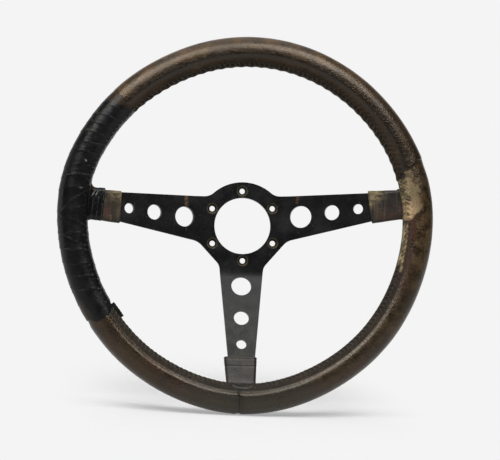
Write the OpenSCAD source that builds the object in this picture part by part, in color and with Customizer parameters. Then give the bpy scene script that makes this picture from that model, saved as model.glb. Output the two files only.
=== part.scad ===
// Three-spoke sports steering wheel: a bent aluminium spoke plate riveted to a metal hoop,
// a moulded grip over the hoop, a laced leather cover in three lengths, leather sleeves on
// the spoke ends and a binding of black tape over a worn stretch on the left.
// Origin at the centre of the hub's back face. X is to the driver's right, Y points away
// from the driver, Z is up with the wheel straight ahead. Millimetres and degrees.

/* [Rim] */
// Outside diameter of the wheel
wheel_d = 370; // [340:1:400]
// Diameter of the grip, leather included
grip_d = 30; // [26:0.5:34]
// Thickness of the leather cover
leather_t = 1.5; // [1:0.1:2]
// Diameter of the metal hoop inside the grip
hoop_d = 12; // [10:0.5:14]
// Distance from the hub's back face forward to the middle of the grip
dish = 40; // [25:1:55]

/* [Hub] */
// Outside diameter of the hub ring
hub_d = 88; // [84:1:96]
// Diameter of the centre hole
centre_hole_d = 56.5; // [50:0.5:58]
// Diameter of the circle that the bolt holes lie on
bolt_circle_d = 70; // [68:0.5:74]
// Number of bolt holes
bolt_count = 6; // [3:1:9]
// Diameter of each bolt hole
bolt_hole_d = 5.5; // [4.5:0.1:6.5]
// Diameter of each countersink on the driver's side
countersink_d = 10.5; // [8:0.1:11]

/* [Spokes] */
// Thickness of the spoke plate
plate_t = 4; // [3:0.5:5]
// Distance from the centre to the middle of the bend across each spoke
bend_at = 48; // [47:0.5:52]
// Inside radius of that bend
bend_r = 30; // [20:1:36]
// Height of the side spokes' middle line where it crosses the wheel's middle
side_axis_h = 1.8; // [0:0.1:4]
// Rise of the side spokes towards the rim
side_rise = 7; // [3:0.5:9]
// Width of a side spoke at its bend
side_root_w = 44.6; // [38:0.2:48]
// Width of a side spoke at the hoop
side_tip_w = 19.6; // [16:0.2:26]
// Width of the lower spoke at its bend
lower_root_w = 42.8; // [36:0.2:46]
// Width of the lower spoke at the hoop
lower_tip_w = 19.6; // [16:0.2:26]
// Lean of the lower spoke towards the driver's left
lower_lean = 1.6; // [0:0.1:3]
// Slope of the web edge between a side spoke and the lower spoke
web_slope = 48; // [40:1:55]
// Distance of that edge from the centre
web_reach = 43.5; // [42:0.5:50]

/* [Lightening holes] */
// Diameter of the hole nearest the hub
hole_1_d = 20; // [16:0.5:22]
// Diameter of the middle hole
hole_2_d = 15; // [12:0.5:18]
// Diameter of the hole nearest the rim
hole_3_d = 10; // [8:0.5:14]
// Diameter of the drilled-out hole nearest the hub on the right spoke
worn_hole_d = 22; // [16:0.5:24]
// Place of the first hole, in percent of the way from the centre to the middle of the grip
hole_1_share = 34.6; // [34:0.1:36]
// Place of the middle hole, in the same way
hole_2_share = 52.5; // [50:0.1:54.5]
// Place of the outer hole, in the same way
hole_3_share = 67.4; // [65:0.1:68.2]
// Extra distance of the outer hole on the lower spoke
lower_hole_step = 4.6; // [0:0.2:6]

/* [Sleeves] */
// Distance from the middle of the grip to the left sleeve's inner end
left_sleeve_reach = 46.8; // [42:0.2:48]
// Distance from the middle of the grip to the right sleeve's inner end
right_sleeve_reach = 44; // [40:0.2:48]
// Distance from the middle of the grip to the lower sleeve's inner end
lower_sleeve_reach = 38; // [34:0.2:42]
// Width of a sleeve
sleeve_w = 30.8; // [29:0.2:35]
// Thickness of the sleeve leather over the plate
sleeve_t = 1.6; // [1:0.1:2.4]

/* [Lacing] */
// Distance between stitches along the seam
stitch_pitch = 4.9; // [4:0.1:8]
// Length of each stitch across the seam
stitch_l = 5.2; // [4:0.2:6.4]
// Diameter of the thread
thread_d = 1; // [0.8:0.1:1.2]
// Slant of each stitch against square across the seam
stitch_slant = 22; // [0:1:35]
// Turn of the seam from the inner side of the grip towards the driver
seam_turn = 30; // [20:1:45]

/* [Tape] */
// Thickness of the tape binding
tape_t = 0.5; // [0.3:0.1:0.8]
// Clock angle of the tape's upper end, from three o'clock upwards
tape_from = 133; // [125:1:150]
// Clock angle of the tape's lower end
tape_to = 214; // [200:1:225]
// Distance from the middle of the grip to the tape's end on the left sleeve
tape_reach = 29; // [24:0.5:34]
// Length of the loose tape end
tail_l = 16.5; // [10:0.5:20]
// Width of the loose tape end that stands clear of the grip
tail_w = 4.5; // [3:0.5:6]

/* [Hidden] */
$fn = 64;

grip_r = grip_d / 2;
core_r = grip_r - leather_t;
rim_r = wheel_d / 2 - grip_r;
slope = atan((dish - plate_t / 2) / (rim_r - bend_at));
end_r = rim_r + 2;
bend_from = bend_at - (bend_r + plate_t / 2) * tan(slope / 2);
hub_flat = bend_from - 0.5;

glue_t = 0.1;

// Places where two lengths of leather meet, as clock angles
right_joint = 18;
left_joint = 162;
lower_joint = 267;

rivet_d = 4;
rivet_head_d = 7;
rivet_head_t = 1.4;
rivet_seat = 0.5;
rivet_half_gap = 5.6;
rivet_r = rim_r - 1.5;

left_sleeve_at = rim_r - left_sleeve_reach;
right_sleeve_at = rim_r - right_sleeve_reach;
lower_sleeve_at = rim_r - lower_sleeve_reach;
tape_sleeve_at = rim_r - tape_reach;

web_round_r = 17;
crotch_r = 12;
hub_blend_r = 14;

// A point at distance r and angle a, an arc of such points, and the meeting point of two lines
function polar(r, a) = [r * cos(a), r * sin(a)];
function arc(centre, r, from, to, steps) =
    [for (i = [0:steps]) centre + polar(r, from + (to - from) * i / steps)];
function cross2(a, b) = a.x * b.y - a.y * b.x;
function meet(a, b, c, d) = a + (b - a) * cross2(c - a, d - c) / cross2(b - a, d - c);
function turned(p, a) = [p.x * cos(a) - p.y * sin(a), p.x * sin(a) + p.y * cos(a)];
function mirrored(p) = [-p.x, p.y];
function unit(v) = v / norm(v);
function reversed(list) = [for (i = [len(list) - 1:-1:0]) list[i]];

// Arc of radius r that rounds the corner b of the path a, b, c
function rounded(a, b, c, r) =
    let (
        into = unit(a - b),
        out = unit(c - b),
        half = acos(into * out) / 2,
        centre = b + unit(into + out) * r / sin(half),
        first = b + into * r / tan(half) - centre,
        last = b + out * r / tan(half) - centre,
        from = atan2(first.y, first.x),
        sweep = (atan2(last.y, last.x) - from + 540) % 360 - 180
    )
    arc(centre, r, from, from + sweep, 8);

// Spoke edges seen from the front, on the side spoke (x outwards) and the lower spoke
function side_axis(u) = side_axis_h + u * tan(side_rise);
function taper(root, tip, u) = root + (tip - root) * (u - bend_at) / (rim_r - bend_at);
function side_top(u) = [u, side_axis(u) + taper(side_root_w, side_tip_w, u) / 2];
function side_bottom(u) = [u, side_axis(u) - taper(side_root_w, side_tip_w, u) / 2];
function lower_edge(u, side) =
    turned([side * taper(lower_root_w, lower_tip_w, u) / 2, -u], -lower_lean);

// Outline of one half of the plate from the right or left spoke tip to the lower tip
web_foot = polar(web_reach, web_slope - 90);
web_head = web_foot + polar(20, web_slope);
function half_outline(side) =
    let (
        flip = function (p) side > 0 ? p : mirrored(p),
        foot = flip(web_foot),
        head = flip(web_head),
        low = flip(side_bottom(end_r)),
        knee = meet(low, flip(side_bottom(0)), head, foot),
        tip = lower_edge(end_r, side),
        crotch = meet(head, foot, tip, lower_edge(0, side))
    )
    concat(
        [flip(side_top(end_r)), low],
        rounded(low, knee, crotch, web_round_r),
        rounded(knee, crotch, tip, crotch_r),
        [tip]
    );

// The hub ring's upper edge, with the hollow blends that run out into the side spokes
function hub_top() =
    let (
        tilt = atan2(side_top(1).y - side_top(0).y, 1),
        line_h = side_top(0).y * cos(tilt),
        level = line_h + hub_blend_r,
        centre = turned([sqrt(pow(hub_d / 2 + hub_blend_r, 2) - pow(level, 2)), level], tilt),
        meets = atan2(centre.y, centre.x),
        blend = arc(centre, hub_blend_r, tilt - 90, meets - 180, 6),
        flip = [for (p = reversed(blend)) mirrored(p)]
    )
    concat(blend, arc([0, 0], hub_d / 2, meets + 4, 176 - meets, 16), flip);

module plate_outline() {
    polygon(concat(reversed(half_outline(1)), hub_top(), half_outline(-1)));
}

// A flat outline in the driver's view becomes a slab through the whole depth of the wheel
module through_depth(back = 20, front = 80) {
    translate([0, back, 0])
        rotate([90, 0, 0])
            linear_extrude(height = back + front) children();
}

// Places things in the frame of a spoke: x outwards, y to the back, z across
module in_spoke(name) {
    if (name == "right") children();
    if (name == "left") mirror([1, 0, 0]) children();
    if (name == "lower") rotate([0, 90 + lower_lean, 0]) children();
}

// Places things on a spoke's sloping middle plane, at distance u from the centre
module on_slope(u) {
    translate([u, -plate_t / 2 - (u - bend_at) * tan(slope), 0])
        rotate([0, 0, -slope]) children();
}

// Edge view of a spoke from just inside its bend, x outwards and y towards the driver
module bent_profile() {
    centre = [bend_from, bend_r + plate_t];
    flat_from = bend_from - 6;
    polygon(concat(
        [[flat_from, plate_t], [flat_from, 0]],
        arc(centre, bend_r + plate_t, -90, slope - 90, 6),
        [for (r = [bend_r + plate_t, bend_r]) centre + turned([end_r - bend_from, -r], slope)],
        arc(centre, bend_r, slope - 90, -90, 6)
    ));
}

module bent_sheet() {
    mirror([0, 1, 0])
        linear_extrude(height = 120, center = true) bent_profile();
}

module spoke_holes(first_d, step) {
    places = [hole_1_share, hole_2_share, hole_3_share] * rim_r / 100;
    distances = [places[0] + step * 0.45, places[1] + step * 0.8, places[2] + step];
    sizes = [first_d, hole_2_d, hole_3_d];
    for (i = [0:2])
        on_slope(distances[i])
            translate([0, 0, step > 0 ? 0 : side_axis(distances[i])])
                rotate([90, 0, 0])
                    cylinder(d = sizes[i], h = 4 * plate_t, center = true);
}

module bolt_holes() {
    for (i = [0:bolt_count - 1])
        rotate([0, -90 - i * 360 / bolt_count, 0])
            translate([bolt_circle_d / 2, 0, 0])
                rotate([90, 0, 0]) {
                    cylinder(d = bolt_hole_d, h = 4 * plate_t, center = true);
                    translate([0, 0, plate_t + 1 - countersink_d / 2])
                        cylinder(d1 = 2, d2 = countersink_d + 2, h = countersink_d / 2);
                }
}

module spoke_plate() {
    color("#1b1b1d")
        difference() {
            intersection() {
                through_depth() plate_outline();
                union() {
                    translate([-hub_flat, -plate_t, -hub_flat])
                        cube([2 * hub_flat, plate_t, hub_flat + hub_d]);
                    for (name = ["left", "right", "lower"]) in_spoke(name) bent_sheet();
                }
            }
            rotate([90, 0, 0]) cylinder(d = centre_hole_d, h = 4 * plate_t, center = true);
            bolt_holes();
            in_spoke("right") spoke_holes(worn_hole_d, 0);
            in_spoke("left") spoke_holes(hole_1_d, 0);
            in_spoke("lower") spoke_holes(hole_1_d, lower_hole_step);
            for (name = ["left", "right", "lower"]) rivets(name);
        }
}

// The outer stretch of a spoke alone, bounded by the same faces as the plate
module spoke_end(name) {
    edges = name == "lower"
        ? [lower_edge(end_r, -1), lower_edge(bend_at + 30, -1),
           lower_edge(bend_at + 30, 1), lower_edge(end_r, 1)]
        : [side_top(end_r), side_top(bend_at + 30), side_bottom(bend_at + 30), side_bottom(end_r)];
    intersection() {
        through_depth()
            if (name == "left") mirror([1, 0]) polygon(edges);
            else polygon(edges);
        in_spoke(name)
            on_slope(bend_at)
                translate([20, -plate_t / 2, -60]) cube([end_r, plate_t, 120]);
    }
}

// A section of the rim (x outwards, y towards the driver) swept between two clock angles
module sweep(from, to) {
    translate([0, -dish, 0])
        rotate([90, 0, 0])
            rotate([0, 0, from])
                rotate_extrude(angle = to - from, $fn = 180)
                    translate([rim_r, 0]) children();
}

module full_ring(r) {
    translate([0, -dish, 0])
        rotate([90, 0, 0])
            rotate_extrude($fn = 180)
                translate([rim_r, 0]) circle(r = r);
}

function rivet_spots(name) =
    let (middle = name == "lower" ? 0 : side_axis(rim_r))
    [for (side = [-1, 1]) middle + side * rivet_half_gap];

module rivets(name) {
    seat = hoop_d / 2 - rivet_seat;
    color("silver")
        in_spoke(name)
            for (v = rivet_spots(name))
                on_slope(sqrt(rivet_r * rivet_r - v * v))
                    translate([0, 0, v])
                        rotate([90, 0, 0]) {
                            cylinder(d = rivet_d, h = 2 * seat, center = true);
                            for (end = [0, 1])
                                mirror([0, 0, end])
                                    translate([0, 0, seat])
                                        cylinder(d1 = rivet_head_d, d2 = rivet_d, h = rivet_head_t);
                        }
}

module rim_hoop() {
    color("lightgrey")
        difference() {
            full_ring(hoop_d / 2);
            for (name = ["left", "right", "lower"]) {
                spoke_end(name);
                rivets(name);
            }
        }
}

module grip_core() {
    color("#3a3a38")
        difference() {
            full_ring(core_r);
            full_ring(hoop_d / 2);
            for (name = ["left", "right", "lower"]) {
                spoke_end(name);
                rivets(name);
            }
        }
}

// Wedge of a section between two turns from the inner side of the grip towards the driver
module section_wedge(r, from, to) {
    polygon(concat([[0, 0]], [for (i = [0:8]) polar(r, 180 - from - (to - from) * i / 8)]));
}

module leather(from, to) {
    color("#4a3a2c")
        difference() {
            sweep(from, to)
                difference() {
                    circle(r = grip_r);
                    circle(r = core_r);
                    rotate(-seam_turn)
                        translate([-grip_r, 0]) circle(r = leather_t / 2, $fn = 24);
                }
            for (name = ["left", "right", "lower"]) spoke_end(name);
        }
}

// Lacing over the seam, left out where a sleeve meets the grip
sleeve_gap = asin(sleeve_w / 2 / (rim_r - grip_r)) + 1;
spoke_clock = [
    asin(side_axis(rim_r) / rim_r),
    180 - asin(side_axis(rim_r) / rim_r),
    270 - lower_lean
];
seam_r = rim_r - grip_r * cos(seam_turn);
stitch_step = stitch_pitch / seam_r * 180 / PI;

function clock_gap(a, b) = abs((a - b + 540) % 360 - 180);
function near_spoke(a) = min([for (s = spoke_clock) clock_gap(a, s)]) < sleeve_gap;

module stitches(from, to) {
    lift = grip_r + thread_d / 2;
    count = floor((to - from) / stitch_step - 0.5);
    color("#6b604f")
        translate([0, -dish, 0])
            rotate([90, 0, 0])
                for (i = [0:count]) {
                    clock = from + (i + 0.5) * stitch_step;
                    if (!near_spoke(clock))
                        rotate([0, 0, clock])
                            translate([rim_r, 0, 0])
                                rotate([0, seam_turn, 0])
                                    translate([-lift, 0, 0])
                                        rotate([stitch_slant, 0, 0])
                                            cylinder(d = thread_d, h = stitch_l, center = true, $fn = 16);
                }
}

// Leather sleeve wrapped round a spoke's end, before the spoke and the grip are cut from it
module sleeve_body(name, at, grow = 0) {
    side = name != "lower";
    half = plate_t / 2 + sleeve_t;
    edge = sleeve_w / 2 - half;
    in_spoke(name)
        on_slope(at)
            translate([0, 0, side ? side_axis(at) : 0])
                rotate([0, side ? -side_rise : 0, 0])
                    rotate([90, 0, 90])
                        linear_extrude(height = rim_r - grip_r / 2 - at)
                            rotate(90)
                                polygon(concat(arc([edge, 0], half + grow, -90, 90, 8),
                                               arc([-edge, 0], half + grow, 90, 270, 8)));
}

module sleeve(name, at) {
    color("#332c26")
        difference() {
            sleeve_body(name, at);
            spoke_end(name);
            full_ring(grip_r);
        }
}

// Tape bound over the grip, lifted over the laced seam, and over part of the left sleeve
module tape_wrap() {
    under = grip_r + glue_t;
    over = under + thread_d + 0.15;
    half_span = stitch_l / 2 / grip_r * 180 / PI + 2;
    color("#121214") {
        difference() {
            sweep(tape_from, tape_to)
                difference() {
                    union() {
                        circle(r = under + tape_t);
                        section_wedge(over + tape_t, seam_turn - half_span - 2,
                                      seam_turn + half_span + 2);
                    }
                    circle(r = under);
                    section_wedge(over, seam_turn - half_span, seam_turn + half_span);
                }
            sleeve_body("left", left_sleeve_at);
        }
        difference() {
            intersection() {
                sleeve_body("left", left_sleeve_at, tape_t);
                translate([-rim_r, -dish, -20]) cube([rim_r - tape_sleeve_at, dish, 80]);
            }
            sleeve_body("left", left_sleeve_at);
            full_ring(under + tape_t);
        }
    }
}

module tape_tail() {
    ahead = 4.5;
    inner = rim_r - grip_r - tail_w;
    color("#121214")
        difference() {
            rotate([0, -tape_to, 0])
                translate([inner, -dish - ahead, -tail_l / 2])
                    cube([tail_w + 4, tape_t, tail_l]);
            full_ring(grip_r + glue_t + tape_t);
        }
}

spoke_plate();
rim_hoop();
rivets("left");  // rivets_left
rivets("right");  // rivets_right
rivets("lower");  // rivets_lower
grip_core();
leather(right_joint, left_joint);  // leather_upper
leather(left_joint, lower_joint);  // leather_lower_left
leather(lower_joint, 360 + right_joint);  // leather_lower_right
stitches(right_joint, left_joint);  // stitching_upper
stitches(left_joint, lower_joint);  // stitching_lower_left
stitches(lower_joint, 360 + right_joint);  // stitching_lower_right
sleeve("left", left_sleeve_at);  // sleeve_left
sleeve("right", right_sleeve_at);  // sleeve_right
sleeve("lower", lower_sleeve_at);  // sleeve_lower
tape_wrap();
tape_tail();
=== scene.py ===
"""Looks of the three-spoke sports steering wheel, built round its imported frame.

Metres, with the origin at the centre of the hub's back face, X to the driver's right,
Y away from the driver and Z up. A place on the rim is given by its clock angle (degrees
from three o'clock upwards) and its turn (degrees round the grip, from the side that faces
the hub towards the driver). Heights of the leather and the tape are in millimetres.
"""

import logging
import math
from dataclasses import dataclass, field
from enum import Enum
from itertools import product
from typing import Any, Callable, Optional, Sequence, Union

import bmesh
import bpy
import numpy as np
from mathutils import Matrix, Vector


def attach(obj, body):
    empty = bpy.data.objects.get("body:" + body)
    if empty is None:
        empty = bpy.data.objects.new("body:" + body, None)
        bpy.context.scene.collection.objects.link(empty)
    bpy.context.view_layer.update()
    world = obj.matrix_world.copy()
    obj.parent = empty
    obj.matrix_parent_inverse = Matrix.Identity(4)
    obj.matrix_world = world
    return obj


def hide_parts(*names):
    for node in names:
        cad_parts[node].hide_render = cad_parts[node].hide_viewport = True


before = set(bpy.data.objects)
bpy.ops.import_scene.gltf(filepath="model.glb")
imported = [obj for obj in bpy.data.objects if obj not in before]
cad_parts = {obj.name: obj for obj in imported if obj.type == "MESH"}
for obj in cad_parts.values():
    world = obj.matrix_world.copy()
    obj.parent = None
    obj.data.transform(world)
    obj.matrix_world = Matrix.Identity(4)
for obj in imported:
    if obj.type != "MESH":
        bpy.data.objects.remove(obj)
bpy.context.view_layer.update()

log = logging.getLogger("wheel")

Array = np.ndarray
Colour = tuple[float, float, float]
Value = Union["Sock", float, int]
Inputs = dict[Union[str, int], Any]


# ---------------------------------------------------------------- sizes shared by the pieces


@dataclass(frozen=True)
class Rim:
    """Sizes of the rim that every piece on it shares, as the frame has them."""

    radius: float = 0.170
    dish: float = 0.040
    grip: float = 0.015
    core: float = 0.0135
    seam_turn: float = 30.0
    stitch_mm: float = 4.9
    seam_radius_mm: float = 157.0096
    right_joint: float = 18.0
    left_joint: float = 162.0
    lower_joint: float = 267.0
    level: tuple[float, float] = (0.50, 0.36)
    sway: tuple[tuple[float, float, float], ...] = (
        (18, 1.7, 30), (70, 0.6, 22), (115, -1.5, 19), (165, 2.1, 14),
        (208, -1.35, 20), (270, 2.8, 20), (340, -0.9, 18))

    @property
    def stitch_step(self) -> float:
        """Degrees of clock from one stitch to the next."""
        return math.degrees(self.stitch_mm / self.seam_radius_mm)

    @property
    def mm_per_degree(self) -> float:
        """Distance along the middle of the grip for a degree of clock."""
        return math.radians(self.radius) * 1000

    def round_mm(self, turn: Array) -> Array:
        """Distance round the grip from the seam, in millimetres."""
        return np.radians(turn - self.seam_turn) * self.grip * 1000

    def bent(self, clock: Array) -> Array:
        """How far the rim has been pulled outwards from a true circle, most at the spokes.

        Args:
            clock: Clock angles in degrees.

        Returns:
            Distances in metres.
        """
        a = np.radians(clock)
        out = self.level[0] * np.cos(a) + self.level[1] * np.sin(a)
        for at, much, width in self.sway:
            out = out + much * hump(signed(clock - at), width)
        return out / 1000

    def point(self, clock: Array, turn: Array, r: Union[Array, float]) -> Array:
        """Places points on the rim.

        Args:
            clock: Clock angles in degrees.
            turn: Turns round the grip in degrees.
            r: Distances from the middle of the grip.

        Returns:
            An array of points whose last axis is x, y, z.
        """
        a, b = np.radians(clock), np.radians(turn)
        out = self.radius + self.bent(clock) - r * np.cos(b)
        return np.stack([out * np.cos(a), -self.dish - r * np.sin(b), out * np.sin(a)], axis=-1)

    def outward(self, clock: Array, turn: Array) -> Array:
        """Directions straight out of the grip's surface at these places."""
        a, b = np.radians(clock), np.radians(turn)
        return np.stack([-np.cos(b) * np.cos(a), -np.sin(b), -np.cos(b) * np.sin(a)], axis=-1)


@dataclass(frozen=True)
class Spoke:
    """Where one spoke runs, so that what wraps it can follow it."""

    name: str
    bend: float = 0.048
    slope: float = math.atan(38 / 122)
    half_sheet: float = 0.002
    rise: float = 7.0
    lift: float = 0.0018
    lower_turn: float = 91.6

    def frame(self, u: float) -> Matrix:
        """The frame on the spoke's middle plane at distance u from the centre.

        Args:
            u: Distance from the wheel's centre, seen from the front.

        Returns:
            A matrix whose x runs outwards along the spoke, y backwards and z across it.
        """
        side = self.name != "lower"
        lift = self.lift + u * math.tan(math.radians(self.rise)) if side else 0.0
        depth = -self.half_sheet - (u - self.bend) * math.tan(self.slope)
        local = Matrix.Translation((u, depth, lift)) @ Matrix.Rotation(-self.slope, 4, "Z")
        if not side:
            return Matrix.Rotation(math.radians(self.lower_turn), 4, "Y") @ local
        local = local @ Matrix.Rotation(math.radians(-self.rise), 4, "Y")
        return Matrix.Diagonal((-1, 1, 1, 1)) @ local if self.name == "left" else local


# ---------------------------------------------------------------- numbers


def signed(angle: Array) -> Array:
    """The same angle in degrees, from -180 to 180."""
    return (angle + 540) % 360 - 180


def ease(low: float, high: float, x: Array) -> Array:
    """A smooth step from 0 at low to 1 at high."""
    t = np.clip((x - low) / (high - low), 0, 1)
    return t * t * (3 - 2 * t)


def hump(x: Array, width: float) -> Array:
    """A smooth hump of height 1 at x = 0 that is gone at about twice the width."""
    return np.exp(-((x / width) ** 2))


def inside(x: Array, low: float, high: float, soft: float) -> Array:
    """1 between low and high, falling to 0 over the soft distance outside them."""
    return ease(low - soft, low, x) * (1 - ease(high, high + soft, x))


def linear(r: float, g: float, b: float) -> Colour:
    """A colour given as 0 to 255 on screen, as the linear values that shaders take.

    Args:
        r: Red.
        g: Green.
        b: Blue.

    Returns:
        The linear colour.
    """
    def one(c: float) -> float:
        """One channel."""
        c /= 255
        return c / 12.92 if c <= 0.04045 else ((c + 0.055) / 1.055) ** 2.4
    return (one(r), one(g), one(b))


@dataclass(frozen=True)
class Lumps:
    """Seeded smooth noise over points, for shapes and for where wear lies."""

    seed: int = 1
    primes: tuple[int, int, int] = (374761393, 668265263, 2147483647)
    stir: int = 1274126177
    mask: int = 0xFFFFFFFF

    def _lattice(self, cell: Array) -> Array:
        """Steady pseudo-random values from -1 to 1 at whole-number lattice cells.

        Args:
            cell: Whole-number array, last axis x, y, z.

        Returns:
            One value for each cell.
        """
        n = sum(cell[..., k] * prime for k, prime in enumerate(self.primes))
        n = (n + self.seed * self.stir) & self.mask
        n = ((n ^ (n >> 13)) * self.stir) & self.mask
        n = (n ^ (n >> 16)) & self.mask
        return n / (self.mask / 2) - 1.0

    def at(self, points: Array, size: float, octaves: int = 3) -> Array:
        """Noise at the points.

        Args:
            points: Array of points, last axis x, y, z.
            size: Distance over which the noise changes.
            octaves: Number of layers, each half the size of the one before.

        Returns:
            Values of about -1 to 1, one for each point.
        """
        total, share, weight = 0.0, 0.0, 1.0
        for _ in range(octaves):
            p = points / size
            cell = np.floor(p).astype(np.int64)
            f = p - cell
            f = f * f * (3 - 2 * f)
            value = 0.0
            for corner in product((0, 1), repeat=3):
                w = math.prod(f[..., k] if far else 1 - f[..., k]
                              for k, far in enumerate(corner))
                value = value + w * self._lattice(cell + np.array(corner))
            total, share = total + weight * value, share + weight
            size, weight = size / 2, weight / 2
        return total / share


@dataclass(frozen=True)
class Spot:
    """A soft spot on the rim, with its place and its spread in degrees."""

    clock: float
    spread: float
    turn: float
    reach: float
    strength: float = 1.0

    def over(self, clock: Array, turn: Array) -> Array:
        """How strong the spot is at these places."""
        across = hump(turn - self.turn, self.reach)
        return self.strength * hump(clock - self.clock, self.spread) * across


RIM = Rim()


# ---------------------------------------------------------------- shader writing


def maths(operation: str, swap: bool = False) -> Callable[["Sock", Value], "Sock"]:
    """Makes an operator that writes one Math node.

    Args:
        operation: What the node does.
        swap: Whether the other value comes first.

    Returns:
        The method.
    """
    def method(self: "Sock", other: Value) -> "Sock":
        """The two values joined by the node."""
        values = (other, self) if swap else (self, other)
        return self.board.node("ShaderNodeMath", {"operation": operation},
                               dict(enumerate(values)))
    return method


@dataclass(frozen=True)
class Sock:
    """A shader value that plain arithmetic can be written with."""

    board: "Board"
    out: bpy.types.NodeSocket

    __add__ = __radd__ = maths("ADD")
    __sub__ = maths("SUBTRACT")
    __rsub__ = maths("SUBTRACT", swap=True)
    __mul__ = __rmul__ = maths("MULTIPLY")
    least = maths("MINIMUM")
    most = maths("MAXIMUM")

    def __abs__(self) -> "Sock":
        """Size without sign."""
        return self.board.node("ShaderNodeMath", {"operation": "ABSOLUTE"}, {0: self})

    def step(self, low: float, high: float) -> "Sock":
        """A smooth step from 0 at low to 1 at high, which may be the lower number."""
        return self.board.node("ShaderNodeMapRange", {"interpolation_type": "SMOOTHSTEP"},
                               {"Value": self, "From Min": low, "From Max": high})

    def twin(self, output: Union[str, int]) -> "Sock":
        """Another output of the same node."""
        return Sock(self.board, self.out.node.outputs[output])


class Board:
    """One material or world, and the one way that nodes are put on it."""

    def __init__(self, owner: Union[bpy.types.Material, bpy.types.World]) -> None:
        """Clears the tree that the nodes go on.

        Args:
            owner: The material or world that the nodes belong to.
        """
        owner.use_nodes = True
        self.tree = owner.node_tree
        self.tree.nodes.clear()

    def node(self, kind: str, settings: Optional[dict[str, Any]] = None,
             inputs: Optional[Inputs] = None, output: Union[str, int] = 0) -> Sock:
        """Makes a node.

        Args:
            kind: The node's type.
            settings: Properties of the node, which are set first.
            inputs: Values or links of its sockets, by name or number.
            output: The output socket to hand back, by name or number.

        Returns:
            The chosen output, wrapped.
        """
        made = self.tree.nodes.new(kind)
        for name, value in (settings or {}).items():
            setattr(made, name, value)
        for name, value in (inputs or {}).items():
            socket = made.inputs[name]
            if isinstance(value, Sock):
                self.tree.links.new(value.out, socket)
            elif isinstance(value, tuple) and len(value) == 3 and socket.type == "RGBA":
                socket.default_value = (*value, 1.0)
            else:
                socket.default_value = value
        return Sock(self, made.outputs[output])

    def end(self, kind: str, surface: Sock) -> None:
        """Ends the tree with its output node."""
        made = self.tree.nodes.new(kind)
        self.tree.links.new(surface.out, made.inputs["Surface"])

    def place(self) -> Sock:
        """Object coordinates."""
        return self.node("ShaderNodeTexCoord", output="Object")

    def attribute(self, name: str) -> Sock:
        """A value that the mesh carries."""
        return self.node("ShaderNodeAttribute", {"attribute_name": name}, output="Fac")

    def noise(self, scale: float, detail: float = 4.0, rough: float = 0.55,
              where: Optional[Sock] = None) -> Sock:
        """Soft noise from 0 to 1, by default over Object coordinates."""
        return self.node("ShaderNodeTexNoise", inputs={
            "Vector": where or self.place(), "Scale": scale, "Detail": detail,
            "Roughness": rough})

    def cells(self, scale: float, feature: str = "F1") -> Sock:
        """Distance to the nearest cell middle or edge of a cell pattern."""
        return self.node("ShaderNodeTexVoronoi", {"feature": feature}, {
            "Vector": self.place(), "Scale": scale}, output="Distance")

    def stretched(self, scale: tuple[float, float, float],
                  turn: tuple[float, float, float] = (0.0, 0.0, 0.0)) -> Sock:
        """Object coordinates drawn out along the axes, after a turn."""
        return self.node("ShaderNodeMapping", inputs={
            "Vector": self.place(), "Rotation": turn, "Scale": scale})

    def axes(self, vector: Sock) -> tuple[Sock, Sock, Sock]:
        """The x, y and z of a vector."""
        x = self.node("ShaderNodeSeparateXYZ", inputs={0: vector})
        return x, x.twin(1), x.twin(2)

    def rays(self) -> tuple[Sock, Sock, Sock]:
        """Whether the ray comes from the camera, through glass, or off something glossy."""
        path = self.node("ShaderNodeLightPath", output="Is Camera Ray")
        return path, path.twin("Is Transmission Ray"), path.twin("Is Glossy Ray")

    def blend(self, share: Value, first: Union[Sock, Colour],
              second: Union[Sock, Colour]) -> Sock:
        """The first colour with a share of the second one laid over it."""
        return self.node("ShaderNodeMix", {"data_type": "RGBA", "clamp_factor": True},
                         {0: share, 6: first, 7: second}, output=2)

    def layers(self, under: Union[Sock, Colour],
               *laid: tuple[Value, Union[Sock, Colour]]) -> Sock:
        """A colour with others laid over it in order, each with its share.

        Args:
            under: The colour underneath.
            *laid: Pairs of a share and the colour laid over the rest.

        Returns:
            The mixed colour.
        """
        for share, over in laid:
            under = self.blend(share, under, over)
        return under

    def mixed(self, share: Value, first: Sock, second: Sock) -> Sock:
        """Two shaders mixed."""
        return self.node("ShaderNodeMixShader", inputs={0: share, 1: first, 2: second})


@dataclass(frozen=True)
class Finish:
    """What every finish shares: its name and the constants of its surface shader."""

    name: str
    sockets: dict[str, Any] = field(default_factory=dict)

    def colour(self, board: Board) -> Sock:
        """Base colour over the surface."""
        raise NotImplementedError

    def roughness(self, board: Board) -> Sock:
        """Roughness over the surface."""
        raise NotImplementedError

    def relief(self, board: Board) -> tuple[Sock, float]:
        """Height pattern and its depth in metres."""
        raise NotImplementedError

    def material(self) -> bpy.types.Material:
        """Writes the finish as a material.

        Returns:
            The new material.
        """
        made = bpy.data.materials.new(self.name)
        board = Board(made)
        height, depth = self.relief(board)
        normal = board.node("ShaderNodeBump", inputs={
            "Strength": 1.0, "Distance": depth, "Height": height}, output="Normal")
        board.end("ShaderNodeOutputMaterial", board.node("ShaderNodeBsdfPrincipled", inputs={
            "Base Color": self.colour(board), "Roughness": self.roughness(board),
            "Normal": normal, **self.sockets}))
        return made


# ---------------------------------------------------------------- finishes


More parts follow.
